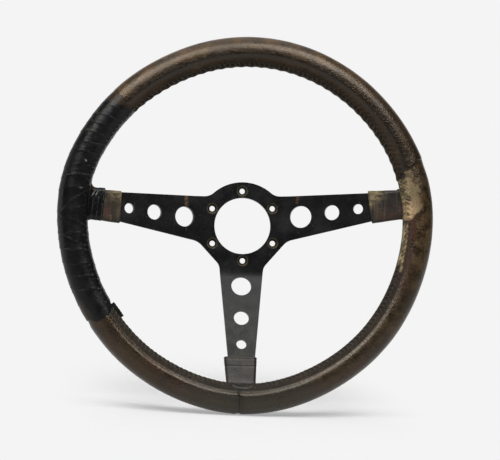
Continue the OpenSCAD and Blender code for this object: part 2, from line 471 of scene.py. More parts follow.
@dataclass(frozen=True)
class SatinPlate(Finish):
    """Satin black paint on the spokes, scuffed, with worn bolt seats whose edges carry a painted
    highlight.
    """

    paint: Colour = linear(9, 9, 11)
    scuff: Colour = linear(44, 44, 44)
    dust: Colour = linear(58, 58, 48)
    speck: Colour = linear(120, 120, 118)
    seat_wear_and_glint: Colour = linear(74, 68, 52)
    bronze: Colour = linear(22, 20, 15)
    rust: Colour = linear(92, 70, 50)
    bolts: int = 6
    bolt_circle: float = 0.035
    front: float = -0.004
    left_rub: float = 0.0555
    right_rub: float = 0.0560

    def _bolts(self, board: Board) -> tuple[Sock, Sock]:
        """Rings round the bolt holes.

        Args:
            board: The board being written on.

        Returns:
            The outer ring, worn and with a painted highlight on its edge, and the darker
            countersink inside it, on the driver's side only.
        """
        ring: Value = 0.0
        inner: Value = 0.0
        for i in range(self.bolts):
            a = math.radians(90 + 360 / self.bolts * i)
            bolt = (self.bolt_circle * math.cos(a), self.front, self.bolt_circle * math.sin(a))
            away = board.node("ShaderNodeVectorMath", {"operation": "DISTANCE"},
                              {0: board.place(), 1: bolt}, output="Value")
            ring = (away.step(0.0040, 0.0047) * away.step(0.0058, 0.0052)).most(ring)
            inner = away.step(0.0050, 0.0042).most(inner)
        return ring, inner

    def _rubs(self, board: Board, x: Sock, z: Sock) -> Sock:
        """Ragged brown rub marks above and below the hub's ends of the side spokes.

        Args:
            board: The board being written on.
            x: Object x.
            z: Object z.

        Returns:
            How strong the marks are.
        """
        ragged = board.noise(420, 3) * 0.0024
        above_left = (abs(x + (self.left_rub - 0.001) + ragged * 1.6).step(0.0026, 0.0008)
                      * z.step(0.0175, 0.0215))
        above_right = (abs(x - (self.right_rub + 0.002) + ragged * 2).step(0.0022, 0.0006)
                       * z.step(0.0205, 0.0235))
        below_left = (abs(x + self.left_rub + ragged).step(0.0014, 0.0004)
                      * z.step(-0.0065, -0.0035) * z.step(-0.0005, -0.0025) * 0.5)
        return above_left.most(above_right).most(below_left)

    def colour(self, board: Board) -> Sock:
        """Black, with dust, fine scratches, brown rub marks and worn bolt seats.

        Args:
            board: The board being written on.

        Returns:
            The colour.
        """
        ring, inner = self._bolts(board)
        x, _, z = board.axes(board.place())
        down = board.noise(260, 3, 0.7, board.stretched((1.0, 1.0, 0.06), (0.0, 0.5, 0.0)))
        cross = board.noise(240, 3, 0.7, board.stretched((0.07, 1.0, 1.0), (0.0, -0.35, 0.0)))
        specks = board.cells(330).step(0.11, 0.05) * board.noise(60, 2).step(0.52, 0.62)
        low = z.step(-0.055, -0.105) * board.noise(120, 5, 0.7).step(0.4, 0.62)
        return board.layers(
            self.paint,
            (board.noise(38, 6, 0.62).step(0.42, 0.72) * 0.35, self.scuff),
            (board.noise(420, 4, 0.75).step(0.52, 0.7) * 0.35, self.scuff),
            (low * 0.4, self.dust),
            ((down.step(0.66, 0.74) + cross.step(0.67, 0.75)) * 0.22, self.scuff),
            (specks * 0.7, self.speck),
            (self._rubs(board, x, z) * board.noise(500, 3).step(0.36, 0.56) * 0.75, self.rust),
            (inner * 0.85, self.bronze),
            # Worn rings round the bolt seats, lighter partly as a painted highlight on their
            # countersunk edges.
            (ring * board.noise(700, 2).step(0.3, 0.55), self.seat_wear_and_glint))

    def roughness(self, board: Board) -> Sock:
        """Satin, duller where dust lies."""
        return 0.31 + board.noise(70, 5).step(0.3, 0.75) * 0.12

    def relief(self, board: Board) -> tuple[Sock, float]:
        """Fine orange peel in the paint."""
        return board.noise(900, 3) + board.noise(160, 2) * 1.4, 0.00004


@dataclass(frozen=True)
class RimLeather(Finish):
    """Dark brown leather polished by hands, with bare and stained places."""

    deep: Colour = linear(24, 16, 7)
    mid: Colour = linear(44, 31, 15)
    warm: Colour = linear(72, 51, 25)
    olive: Colour = linear(76, 61, 41)
    red: Colour = linear(60, 34, 26)
    bare: Colour = linear(166, 149, 113)
    rosy: Colour = linear(192, 156, 120)
    rough_side: Colour = linear(92, 74, 52)
    black: Colour = linear(15, 14, 13)
    dusty: Colour = linear(50, 48, 42)

    def colour(self, board: Board) -> Sock:
        """Brown leather with blotches, darker pores, bare suede and old glue, darkened by dirt
        and painted shade.

        Args:
            board: The board being written on.

        Returns:
            The colour.
        """
        flecks = board.cells(240).step(0.10, 0.05) * board.noise(45, 3).step(0.5, 0.6)
        suede = board.layers(
            self.bare,
            (board.attribute("rosy") + (board.noise(120, 5, 0.65) - 0.5) * 0.6, self.rosy),
            (board.noise(420, 4, 0.7).step(0.48, 0.7) * 0.7, self.rough_side))
        return board.layers(
            self.deep,
            (board.noise(34, 6, 0.62).step(0.36, 0.68), self.mid),
            (board.noise(210, 5, 0.7).step(0.42, 0.66) * 0.75, self.mid),
            (board.attribute("warm") * board.noise(60, 5).step(0.34, 0.66) * 0.85, self.warm),
            (board.attribute("olive") * board.noise(90, 5, 0.7).step(0.38, 0.6), self.olive),
            (board.attribute("red") * board.noise(70, 4).step(0.3, 0.6), self.red),
            (board.attribute("dusty") * 0.75, self.dusty),
            # Darker towards black where the leather is dirty, and painted shade in the lacing's
            # hollows and grooves, just beyond the roll, under the lower sleeve's lip and on the
            # upper length's inner side.
            (board.attribute("grime") * 0.7, self.black),
            (board.noise(330, 4, 0.7).step(0.54, 0.72) * 0.6, self.warm),
            (board.cells(520).step(0.42, 0.16) * 0.4, self.black),
            (flecks * 0.5, self.bare),
            (board.attribute("bare"), suede))

    def roughness(self, board: Board) -> Sock:
        """Polished by hands, dull where it is bare and along the lacing.

        Args:
            board: The board being written on.

        Returns:
            The roughness.
        """
        base = 0.24 + board.noise(80, 5).step(0.3, 0.7) * 0.12
        worn = board.attribute("bare") * 0.32 + board.attribute("band") * 0.55
        return (base + worn).least(0.95)

    def relief(self, board: Board) -> tuple[Sock, float]:
        """Leather grain, with cracks and a few deeper dents.

        Args:
            board: The board being written on.

        Returns:
            The height pattern and its depth in metres.
        """
        grain = board.cells(560).step(0.05, 0.55) * 0.7
        creases = board.cells(260, "DISTANCE_TO_EDGE").step(0.0, 0.10) * 0.6
        suede = board.attribute("bare") * board.noise(460, 4, 0.75) * 2.4
        dents = board.noise(120, 4) + board.noise(330, 4, 0.7) * 0.6
        return grain + creases + dents + suede, 0.00011


@dataclass(frozen=True)
class SleeveLeather(Finish):
    """Thin leather round the spoke ends, rubbed and scratched."""

    deep: Colour = linear(24, 19, 11)
    mid: Colour = linear(48, 39, 24)
    rub: Colour = linear(118, 104, 74)
    stain: Colour = linear(66, 36, 27)
    streaks: float = 1.0

    def colour(self, board: Board) -> Sock:
        """Brown with lighter rubbed streaks across, tan corners and a red stain.

        Args:
            board: The board being written on.

        Returns:
            The colour.
        """
        along = board.noise(300, 4, 0.7, board.stretched((1.0, 1.0, 0.10)))
        scratch = board.noise(300, 5, 0.8, board.stretched((0.5, 1.0, 1.0), (0.0, 0.9, 0.0)))
        return board.layers(
            self.deep,
            (board.noise(70, 5, 0.62).step(0.36, 0.66), self.mid),
            (along.step(0.5, 0.7) * (0.35 * self.streaks), self.rub),
            (board.attribute("stain") * board.noise(120, 4).step(0.3, 0.6), self.stain),
            (board.attribute("rub") * scratch.step(0.42, 0.58), self.rub))

    def roughness(self, board: Board) -> Sock:
        """Dull, more so where it is rubbed."""
        return 0.42 + board.attribute("rub") * 0.25 + board.noise(90, 3) * 0.1

    def relief(self, board: Board) -> tuple[Sock, float]:
        """Grain and shallow scratches across the sleeve."""
        along = board.noise(420, 3, 0.7, board.stretched((1.0, 1.0, 0.12)))
        return board.cells(620).step(0.05, 0.5) * 0.6 + along * 0.9, 0.00014


@dataclass(frozen=True)
class TapeFilm(Finish):
    """Black binding tape: smooth, with dusty creases, painted highlights on the raised stitches
    under it, and brown ends.
    """

    film: Colour = linear(9, 9, 10)
    cloud: Colour = linear(22, 22, 23)
    # Pale for dust in the creases, and for painted highlights on the raised stitches under the
    # tape.
    dust: Colour = linear(84, 84, 82)
    ends: Colour = linear(40, 31, 22)
    moss: Colour = linear(44, 43, 27)
    fleck: Colour = linear(150, 150, 146)

    def colour(self, board: Board) -> Sock:
        """Black, pale in its dusty creases and in painted highlights on the raised stitches
        under it, and worn to brown where it begins.

        Args:
            board: The board being written on.

        Returns:
            The colour.
        """
        worn = board.attribute("worn") + (board.noise(120, 6, 0.7) - 0.5) * 0.9
        crease = board.attribute("crease") * board.noise(200, 4).step(0.32, 0.6)
        return board.layers(
            self.film,
            (board.noise(60, 5).step(0.45, 0.75) * 0.25, self.cloud),
            (worn.step(0.42, 0.62), self.ends),
            (board.attribute("moss") * board.noise(150, 5, 0.7).step(0.45, 0.6), self.moss),
            # Dusty creases, and painted highlights on the raised stitches under the tape.
            (crease * 0.75, self.dust),
            (board.attribute("fleck"), self.fleck))

    def roughness(self, board: Board) -> Sock:
        """A low sheen that dust takes away in places."""
        return (0.31 + board.noise(90, 5).step(0.35, 0.75) * 0.16
                + board.attribute("crease") * 0.15)

    def relief(self, board: Board) -> tuple[Sock, float]:
        """The cloth-like texture of the tape and its fine puckers."""
        return board.noise(500, 3) + board.noise(150, 4) * 1.6, 0.00009


@dataclass(frozen=True)
class Mottled(Finish):
    """Two colours mottled together, with one grain: thread, steel and the moulded core."""

    first: Colour = (0.0, 0.0, 0.0)
    second: Colour = (0.0, 0.0, 0.0)
    blotch: tuple[float, float, float] = (90, 5, 0.55)
    steps: tuple[float, float] = (0.4, 0.7)
    dull: tuple[float, float] = (0.34, 0.2)
    dull_noise: tuple[float, float] = (200, 3)
    grain: tuple[float, float, float] = (800, 2, 0.55)
    depth: float = 0.00003
    twist: Optional[tuple[Colour, Colour]] = None

    def colour(self, board: Board) -> Sock:
        """The first colour with blotches of the second."""
        return board.blend(board.noise(*self.blotch).step(*self.steps), self.first, self.second)

    def roughness(self, board: Board) -> Sock:
        """Uneven by a little."""
        return self.dull[0] + board.noise(*self.dull_noise) * self.dull[1]

    def relief(self, board: Board) -> tuple[Sock, float]:
        """One grain, drawn out and turned where the fibres are twisted."""
        where = board.stretched(*self.twist) if self.twist else None
        return board.noise(*self.grain, where), self.depth


# ---------------------------------------------------------------- mesh making


def placed(name: str, mesh: bpy.types.Mesh,
           nodes: Sequence[str] = ()) -> bpy.types.Object:
    """Puts a mesh into the scene as a piece that rides on the wheel.

    Args:
        name: Name of the piece.
        mesh: Its mesh, already in its place.
        nodes: The frame's nodes that it replaces.

    Returns:
        The object, at the origin.
    """
    made = bpy.data.objects.new(name, mesh)
    bpy.context.scene.collection.objects.link(made)
    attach(made, "root")
    if nodes:
        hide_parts(*nodes)
    log.info("%s: %d faces", name, len(mesh.polygons))
    return made


def piece_from(name: str, points: Array, faces: Sequence[Sequence[int]],
               material: bpy.types.Material, nodes: Sequence[str] = (),
               values: Optional[dict[str, Array]] = None) -> bpy.types.Object:
    """Makes a closed piece in its place.

    Args:
        name: Name of the piece.
        points: Its points, in rows whose last axis is x, y, z.
        faces: Its faces as point numbers.
        material: The finish.
        nodes: The frame's nodes that it replaces.
        values: Values that the mesh carries for its finish, one for each point.

    Returns:
        The piece.
    """
    mesh = bpy.data.meshes.new(name)
    mesh.from_pydata(points.reshape(-1, 3).tolist(), [], [list(f) for f in faces])
    for key, value in (values or {}).items():
        layer = mesh.attributes.new(key, "FLOAT", "POINT")
        layer.data.foreach_set("value", np.clip(value, 0, 1).astype(np.float32).ravel())
    work = bmesh.new()
    work.from_mesh(mesh)
    bmesh.ops.remove_doubles(work, verts=work.verts, dist=1e-7)
    bmesh.ops.recalc_face_normals(work, faces=work.faces)
    for f in work.faces:
        f.smooth = True
    work.to_mesh(mesh)
    work.free()
    mesh.materials.append(material)
    return placed(name, mesh, nodes)


def ring_faces(rings: Array, closed: bool = True) -> list[tuple[int, ...]]:
    """Faces that join each ring of points to the next.

    Args:
        rings: Array of rings by points in a ring by 3.
        closed: Whether the last ring joins the first; if not, both ends are capped.

    Returns:
        The faces, as numbers into the rings laid end to end.
    """
    n, m = rings.shape[:2]
    i = np.arange(n if closed else n - 1)[:, None]
    j = np.arange(m)[None, :]
    i2, j2 = (i + 1) % n, (j + 1) % m
    quads = np.stack([i * m + j, i * m + j2, i2 * m + j2, i2 * m + j], axis=-1)
    faces = [tuple(q) for q in quads.reshape(-1, 4).tolist()]
    caps = [] if closed else [tuple(range(m)), tuple(range((n - 1) * m, n * m))]
    return faces + caps


def patch_faces(n: int, m: int) -> list[tuple[int, ...]]:
    """Faces of a thin closed patch: two grids of points, one over the other, and the rim.

    Args:
        n: Rows of each grid.
        m: Points in a row.

    Returns:
        The faces, the second grid's points following the first one's.
    """
    per = n * m
    faces: list[tuple[int, ...]] = []
    for a in (i * m + j for i in range(n - 1) for j in range(m - 1)):
        faces.append((a, a + 1, a + m + 1, a + m))
        faces.append((per + a, per + a + m, per + a + m + 1, per + a + 1))
    path = (list(range(m)) + [i * m + m - 1 for i in range(1, n)]
            + [(n - 1) * m + j for j in range(m - 2, -1, -1)]
            + [i * m for i in range(n - 2, 0, -1)])
    for a, b in zip(path, path[1:] + path[:1]):
        faces.append((a, per + a, per + b, b))
    return faces


# ---------------------------------------------------------------- the rim


@dataclass
class RimShell:
    """A stretch of something laid round the grip: an outer face, two ends and an inner face."""

    name: str
    start: float
    end: float
    nodes: tuple[str, ...]
    slot: str
    inner_r: float
    pitch: float = 0.0008
    end_reach: float = 9.0
    inner_share: int = 10
    lumps: Lumps = Lumps(3)

    def edge(self, turn: Array, last: bool) -> Array:
        """How far, in degrees, the first or last end runs past its clock angle."""
        return np.zeros_like(turn)

    def height(self, clock: Array, turn: Array) -> Array:
        """How far the outer face stands off the grip's own surface, in millimetres."""
        raise NotImplementedError

    def values(self, clock: Array, turn: Array) -> dict[str, Array]:
        """What the mesh carries for its finish."""
        raise NotImplementedError

    def build(self, material: bpy.types.Material) -> bpy.types.Object:
        """Lays the stretch round the rim.

        Args:
            material: The finish.

        Returns:
            The piece.
        """
        n = max(12, round(math.radians(self.end - self.start) * RIM.radius / self.pitch))
        m = round(2 * math.pi * RIM.grip / self.pitch)
        turn = signed(RIM.seam_turn + np.arange(m) * 360.0 / m)
        clock = self.start + (self.end - self.start) * np.linspace(0, 1, n)[:, None]
        near_start = ease(0.0, 1.0, 1 - (clock - self.start) / self.end_reach)
        near_end = ease(0.0, 1.0, 1 - (self.end - clock) / self.end_reach)
        clock = (clock + near_start * self.edge(turn, False)[None, :]
                 + near_end * self.edge(turn, True)[None, :])
        turns = np.broadcast_to(turn[None, :], clock.shape)
        outer = RIM.point(clock, turns, RIM.grip + self.height(clock, turns) / 1000)
        back = np.linspace(1, 0, max(4, n // self.inner_share))
        rows = np.clip(np.round(back * (n - 1)).astype(int), 0, n - 1)
        inner = RIM.point(clock[rows], turns[rows], self.inner_r)
        rings = np.concatenate([outer, inner])
        carried = {key: np.concatenate([value, value[rows] * 0])
                   for key, value in self.values(clock, turns).items()}
        return piece_from(self.name, rings, ring_faces(rings), material,
                          self.nodes, carried)


class Length(Enum):
    """The three lengths of leather round the rim."""

    UPPER = "upper"
    LOWER_LEFT = "lower_left"
    LOWER_RIGHT = "lower_right"


@dataclass
class Ground:
    """Places on one length, the noise over them, and where the laced band runs."""

    clock: Array
    turn: Array
    wide: Array
    fine: Array
    streak: Array
    band: Array

    @property
    def c(self) -> Array:
        """Clock angles from -180 to 180."""
        return signed(self.clock)


@dataclass
class LeatherLength(RimShell):
    """One length of the leather cover, laced along the side that faces the hub."""

    which: Length = Length.UPPER
    half_band: float = 8.2
    gathers: float = 0.80
    roll_off: float = 4.2
    roll_wide: float = 3.0
    lower_shift: float = 0.5
    lap: float = 2.5
    palm: Spot = Spot(12, 16, 0, 1, 0.45)
    blob: Spot = Spot(266.3, 1.3, 74, 9, 0.9)
    dip: Spot = Spot(268.4, 5.0, 62, 8, 0.5)
    under_tape: tuple[float, float] = (136.5, 212.0)
    upper_red: tuple[Spot, Spot] = (Spot(126, 5, 75, 22, 0.5), Spot(40, 12, 60, 16, 0.3))
    upper_scrape: Spot = Spot(128, 6, 85, 20, 0.7)
    right_red: tuple[Spot, Spot] = (Spot(-52, 4, 135, 24), Spot(-22, 7, 60, 30, 0.6))
    right_chip: Spot = Spot(-16.4, 1.0, 44, 6, 0.7)

    @property
    def upper(self) -> bool:
        """Whether this is the upper length."""
        return self.which is Length.UPPER

    def edge(self, turn: Array, last: bool) -> Array:
        """The right-hand joint runs level across the inner half and then climbs outwards.

        Args:
            turn: Turns round the grip in degrees.
            last: Whether it is the last end and not the first.

        Returns:
            Degrees of clock that the end is moved by.
        """
        if self.upper and not last:
            climb = 2.2 * ease(70, 135, turn) - 2.6 * (1 - ease(-40, 75, turn)) * (turn > -90)
            return climb + 0.25 * np.sin(np.radians(turn * 7))
        if self.which is Length.LOWER_RIGHT and last:
            return np.full_like(turn, self.lap)
        if not self.upper and (self.which is Length.LOWER_LEFT) == last:
            return np.full_like(turn, self.lower_shift)
        return np.zeros_like(turn)

    def phase(self, clock: Array) -> Array:
        """Number of stitches from the length's start, with a stitch at every half."""
        return (clock - self.start) / RIM.stitch_step

    def gather(self, clock: Array, turn: Array) -> Array:
        """How high the leather is gathered between the stitches, from 0 to 1.

        Args:
            clock: Clock angles in degrees.
            turn: Turns round the grip in degrees.

        Returns:
            A value for each place.
        """
        p = RIM.point(clock, turn, RIM.grip)
        lean = (self.phase(clock) + 0.11 * np.abs(RIM.round_mm(turn))
                + 0.16 * self.lumps.at(p + 0.7, 0.008, 3))
        return np.abs(np.sin(math.pi * lean)) ** 0.8

    def height(self, clock: Array, turn: Array) -> Array:
        """Laced seam with gathered leather each side, the roll beside it, and hand wear.

        Args:
            clock: Clock angles in degrees.
            turn: Turns round the grip in degrees.

        Returns:
            Heights over the grip's surface in millimetres.
        """
        mm, c = RIM.round_mm(turn), signed(clock)
        p = RIM.point(clock, turn, RIM.grip)
        low = self.lumps.at(p, 0.030, 3)
        mid = self.lumps.at(p + 0.7, 0.008, 3)
        fine = self.lumps.at(p + 1.9, 0.0028, 2)
        rows = ease(self.half_band, self.half_band - 2.5, np.abs(mm))
        pull = hump(np.abs(mm) - 3.4, 3.4)
        up = self.gathers * (self.gather(clock, turn) - 0.35) * pull * rows
        up = up - 0.75 * hump(mm, 0.75) - 0.35 * hump(np.abs(mm) - self.half_band, 1.9)
        up = up + 0.22 * fine * rows
        flat = 0.35 if self.upper else 0.70 * inside(c, -60, 60, 12)
        flat = flat - 0.15 * inside(clock, 232, 262, 8)
        roll = hump(mm - self.half_band - self.roll_off, self.roll_wide)
        up = up + (0.52 + 0.14 * low) * roll * (1 - flat)
        if self.upper:
            scallop = np.sin(math.pi * self.phase(clock) / 2) ** 2
            up = up + 0.85 * (scallop - 0.4) * hump(mm + self.half_band, 4.2)
        up = up + 0.16 * low + 0.07 * mid + 0.02 * fine
        up = up + self.palm.strength * hump(c - self.palm.clock, self.palm.spread) * ease(
            -40, 60, turn)
        up = up + self.blob.over(clock, turn) - self.dip.over(clock, turn)
        up = up - 0.5 * self.under_lip(clock, turn)
        return up + self.joint(clock) - 0.95 * inside(clock, *self.under_tape, 2.2) - 0.05

    def under_lip(self, clock: Array, turn: Array) -> Array:
        """The crescent that the lower sleeve's lip presses and shades, from 0 to 1."""
        bow = 54 - 12 * ((clock - 270.3) / 5) ** 2
        return hump(turn - bow, 4) * inside(clock, 265.2, 275.4, 1.2)

    def joint(self, clock: Array) -> Array:
        """Where the length meets the next one: a turned-down edge, or a lap at the right.

        Args:
            clock: Clock angles in degrees.

        Returns:
            Heights in millimetres, to be added.
        """
        a = (clock - clock[:1]) * RIM.mm_per_degree
        b = (clock[-1:] - clock) * RIM.mm_per_degree
        if self.upper:
            return 0.30 * hump(a, 7.0) - 0.95 * hump(a, 0.55) - 0.8 * hump(b, 0.7)
        if self.which is Length.LOWER_RIGHT:
            return -0.7 * hump(a, 1.9) + 0.10 * hump(a - 3.8, 1.8) - 0.55 * ease(26, 6, b)
        return -0.8 * hump(a, 0.7) - 0.8 * hump(b, 1.9) + 0.14 * hump(b - 3.8, 1.8)

    def values(self, clock: Array, turn: Array) -> dict[str, Array]:
        """Where the leather is warm, olive, reddish, dirty or bare, and where shade is painted
        on it.

        Args:
            clock: Clock angles in degrees.
            turn: Turns round the grip in degrees.

        Returns:
            Values by name, one for each place.
        """
        c, mm = signed(clock), RIM.round_mm(turn)
        p = RIM.point(clock, turn, RIM.grip)
        drawn = np.stack([(c + 0.05 * turn) * 1.7, turn * 0.04, c * 0], -1)
        band = ease(self.half_band + 0.5, self.half_band - 1.5, np.abs(mm))
        at = Ground(clock, turn, self.lumps.at(p + 3.1, 0.012, 4),
                    self.lumps.at(p + 5.7, 0.004, 3), self.lumps.at(drawn + 9.0, 1.0, 3), band)
        lower = 0.0 if self.upper else 1.0
        none = np.zeros_like(c)
        worn = {
            # Darker along the lacing band, most on the lower lengths, with painted shade in the
            # hollows between the gathers, in the seam's groove and in the groove at the band's
            # edge.
            "grime": ((0.05 + 0.80 * lower + 0.5 * (1 - self.gather(clock, turn))) * band
                      + 0.9 * hump(mm, 0.8)
                      + 0.8 * lower * hump(mm - self.half_band + 0.6, 1.1)),
            "warm": none, "olive": none, "red": none, "bare": none, "rosy": none, "band": band,
            "dusty": (inside(clock, 256, 287, 14) * (1 - band * 0.6)
                      * ease(-0.5, 0.3, at.wide + 0.4))}
        {Length.UPPER: self.wear_upper, Length.LOWER_LEFT: self.wear_left,
         Length.LOWER_RIGHT: self.wear_right}[self.which](worn, at)
        if not self.upper:
            # Darker at the lower joint, and painted shadow in the crescent under the lower
            # sleeve's lip.
            seam = hump(clock - 267.5 + 0.8 * at.wide, 1.2) * ease(56, 84, turn)
            worn["grime"] = np.maximum(worn["grime"] + 0.9 * seam,
                                       0.95 * self.under_lip(clock, turn))
        return worn

    def wear_upper(self, worn: dict[str, Array], at: Ground) -> None:
        """Warm towards the right on its outside, with painted shade along the inner side.

        Args:
            worn: The values that the mesh carries, which are changed.
            at: The places and the noise over them.
        """
        c, turn = at.c, at.turn
        worn["warm"] = inside(turn + 14 * at.wide, 104, 190, 20) * ease(28, 72, c)
        worn["red"] = sum(spot.over(c, turn) for spot in self.upper_red)
        worn["bare"] = ease(0.62, 0.8, at.fine) * self.upper_scrape.over(c, turn)
        worn["olive"] = 0.6 * ease(0.1, 0.5, at.wide) * inside(c, 100, 140, 8)
        # Painted shade along the inner side, which faces down, away from the lamps.
        dark = (0.95 + 0.20 * ease(70, 95, c)) * hump(turn + 6 * at.wide - 75, 18)
        worn["grime"] = np.maximum(worn["grime"], dark)

    def wear_left(self, worn: dict[str, Array], at: Ground) -> None:
        """Reddish and warm on the driver's side, darker along the lacing, with painted shadow in
        the middle just beyond the roll.

        Args:
            worn: The values that the mesh carries, which are changed.
            at: The places and the noise over them.
        """
        worn["red"] = 0.7 * ease(-0.1, 0.5, at.wide) * inside(at.turn, 60, 170, 20)
        worn["warm"] = 0.35 * inside(at.turn, 75, 150, 20)
        # Darker along the lacing band here, and painted shadow just beyond the roll.
        band = worn["grime"] + 0.45 * at.band * inside(at.clock, 228, 262, 8)
        worn["grime"] = np.maximum(band, 0.60 * hump(at.turn + 6 * at.wide - 96, 14))

    def wear_right(self, worn: dict[str, Array], at: Ground) -> None:
        """The bare suede patch by the spoke, the torn strip below it, olive stains, and painted
        shadow just beyond the roll.

        Args:
            worn: The values that the mesh carries, which are changed.
            at: The places and the noise over them.
        """
        c, turn, wide, fine, streak = at.c, at.turn, at.wide, at.fine, at.streak
        edge = 4.0 * wide + 2.0 * fine
        side = turn + 2.6 * edge - 2.4 * np.clip(7.0 - c, -9, 4)
        top = 1.4 + 0.06 * np.clip(turn - 40, 0, 60)
        patch = (inside(c + 0.3 * edge, top, 15.4, 1.0)
                 * inside(side + 5 * fine, -75, 90, 9))
        cuts = np.sin(2 * math.pi * (c + 0.055 * turn + 0.30 * wide) / 1.15)
        holes = (ease(0.20, 0.60, cuts) * ease(6, -6, turn - 48 - 26 * streak)
                 * inside(c, 3.8, 14.5, 1.5) * ease(-0.45, 0.1, fine + streak))
        holes = np.maximum(holes, 0.75 * ease(0.30, 0.5, fine) * inside(c, 1.5, 16, 1))
        mixed = (inside(c + 0.3 * edge, 8.5, 20, 1.2) * inside(turn + edge * 2, 62, 100, 8)
                 * ease(-0.05, 0.4, fine + 0.5 * wide))
        strip = (inside(c + 0.2 * edge, -15.0, -0.6, 1.2)
                 * inside(turn + 1.5 * edge, 14, 42, 4)
                 * (0.35 + 0.65 * ease(-0.15, 0.2, fine + 0.4 * streak)))
        pale = 0.62 + 0.38 * ease(9, 3, c) * ease(10, 60, turn) + 0.2 * wide
        pale = pale * (1 - 0.66 * ease(46, 96, turn + 14 * wide + 8 * fine)) * 0.95
        pale = pale * (1 - 0.35 * ease(0.0, 0.45, fine + 0.6 * streak))
        worn["bare"] = (patch * pale * (1 - holes) + 0.30 * mixed + 0.82 * strip
                        + self.right_chip.over(c, turn))
        worn["rosy"] = 0.5 * inside(c, 1.5, 7, 2.5) * inside(turn, 20, 120, 10)
        worn["red"] = (inside(c, -13, 1.5, 2) * inside(turn, 46, 74, 4)
                       + sum(spot.over(c, turn) for spot in self.right_red))
        stain = inside(c + edge, -38, 20, 5) * inside(turn, 78, 190, 8)
        brown = 0.45 * inside(c, -70, -28, 12) * inside(turn, 60, 190, 8)
        worn["olive"] = np.maximum(stain * (0.95 - 0.35 * ease(-6, -18, c)), brown)
        grime = worn["grime"] + inside(c, -14, 0, 2) * hump(turn - 76, 2.5) * 0.7
        # middle is painted shadow just beyond the roll; outside darkens the outer side just
        # below the right spoke.
        middle = 0.58 * hump(turn + 6 * wide - 94, 13) * ease(-12, -20, c)
        outside = 0.50 * inside(turn + 10 * wide, 106, 190, 12) * ease(0, 5, c)
        grime = np.maximum(np.maximum(grime, middle), outside)
        grime = grime * (1 - 0.6 * inside(c, -14, 1, 2) * inside(turn, 44, 76, 6))
        worn["grime"] = grime * (1 - np.clip(worn["bare"], 0, 1)) + 0.9 * patch * holes


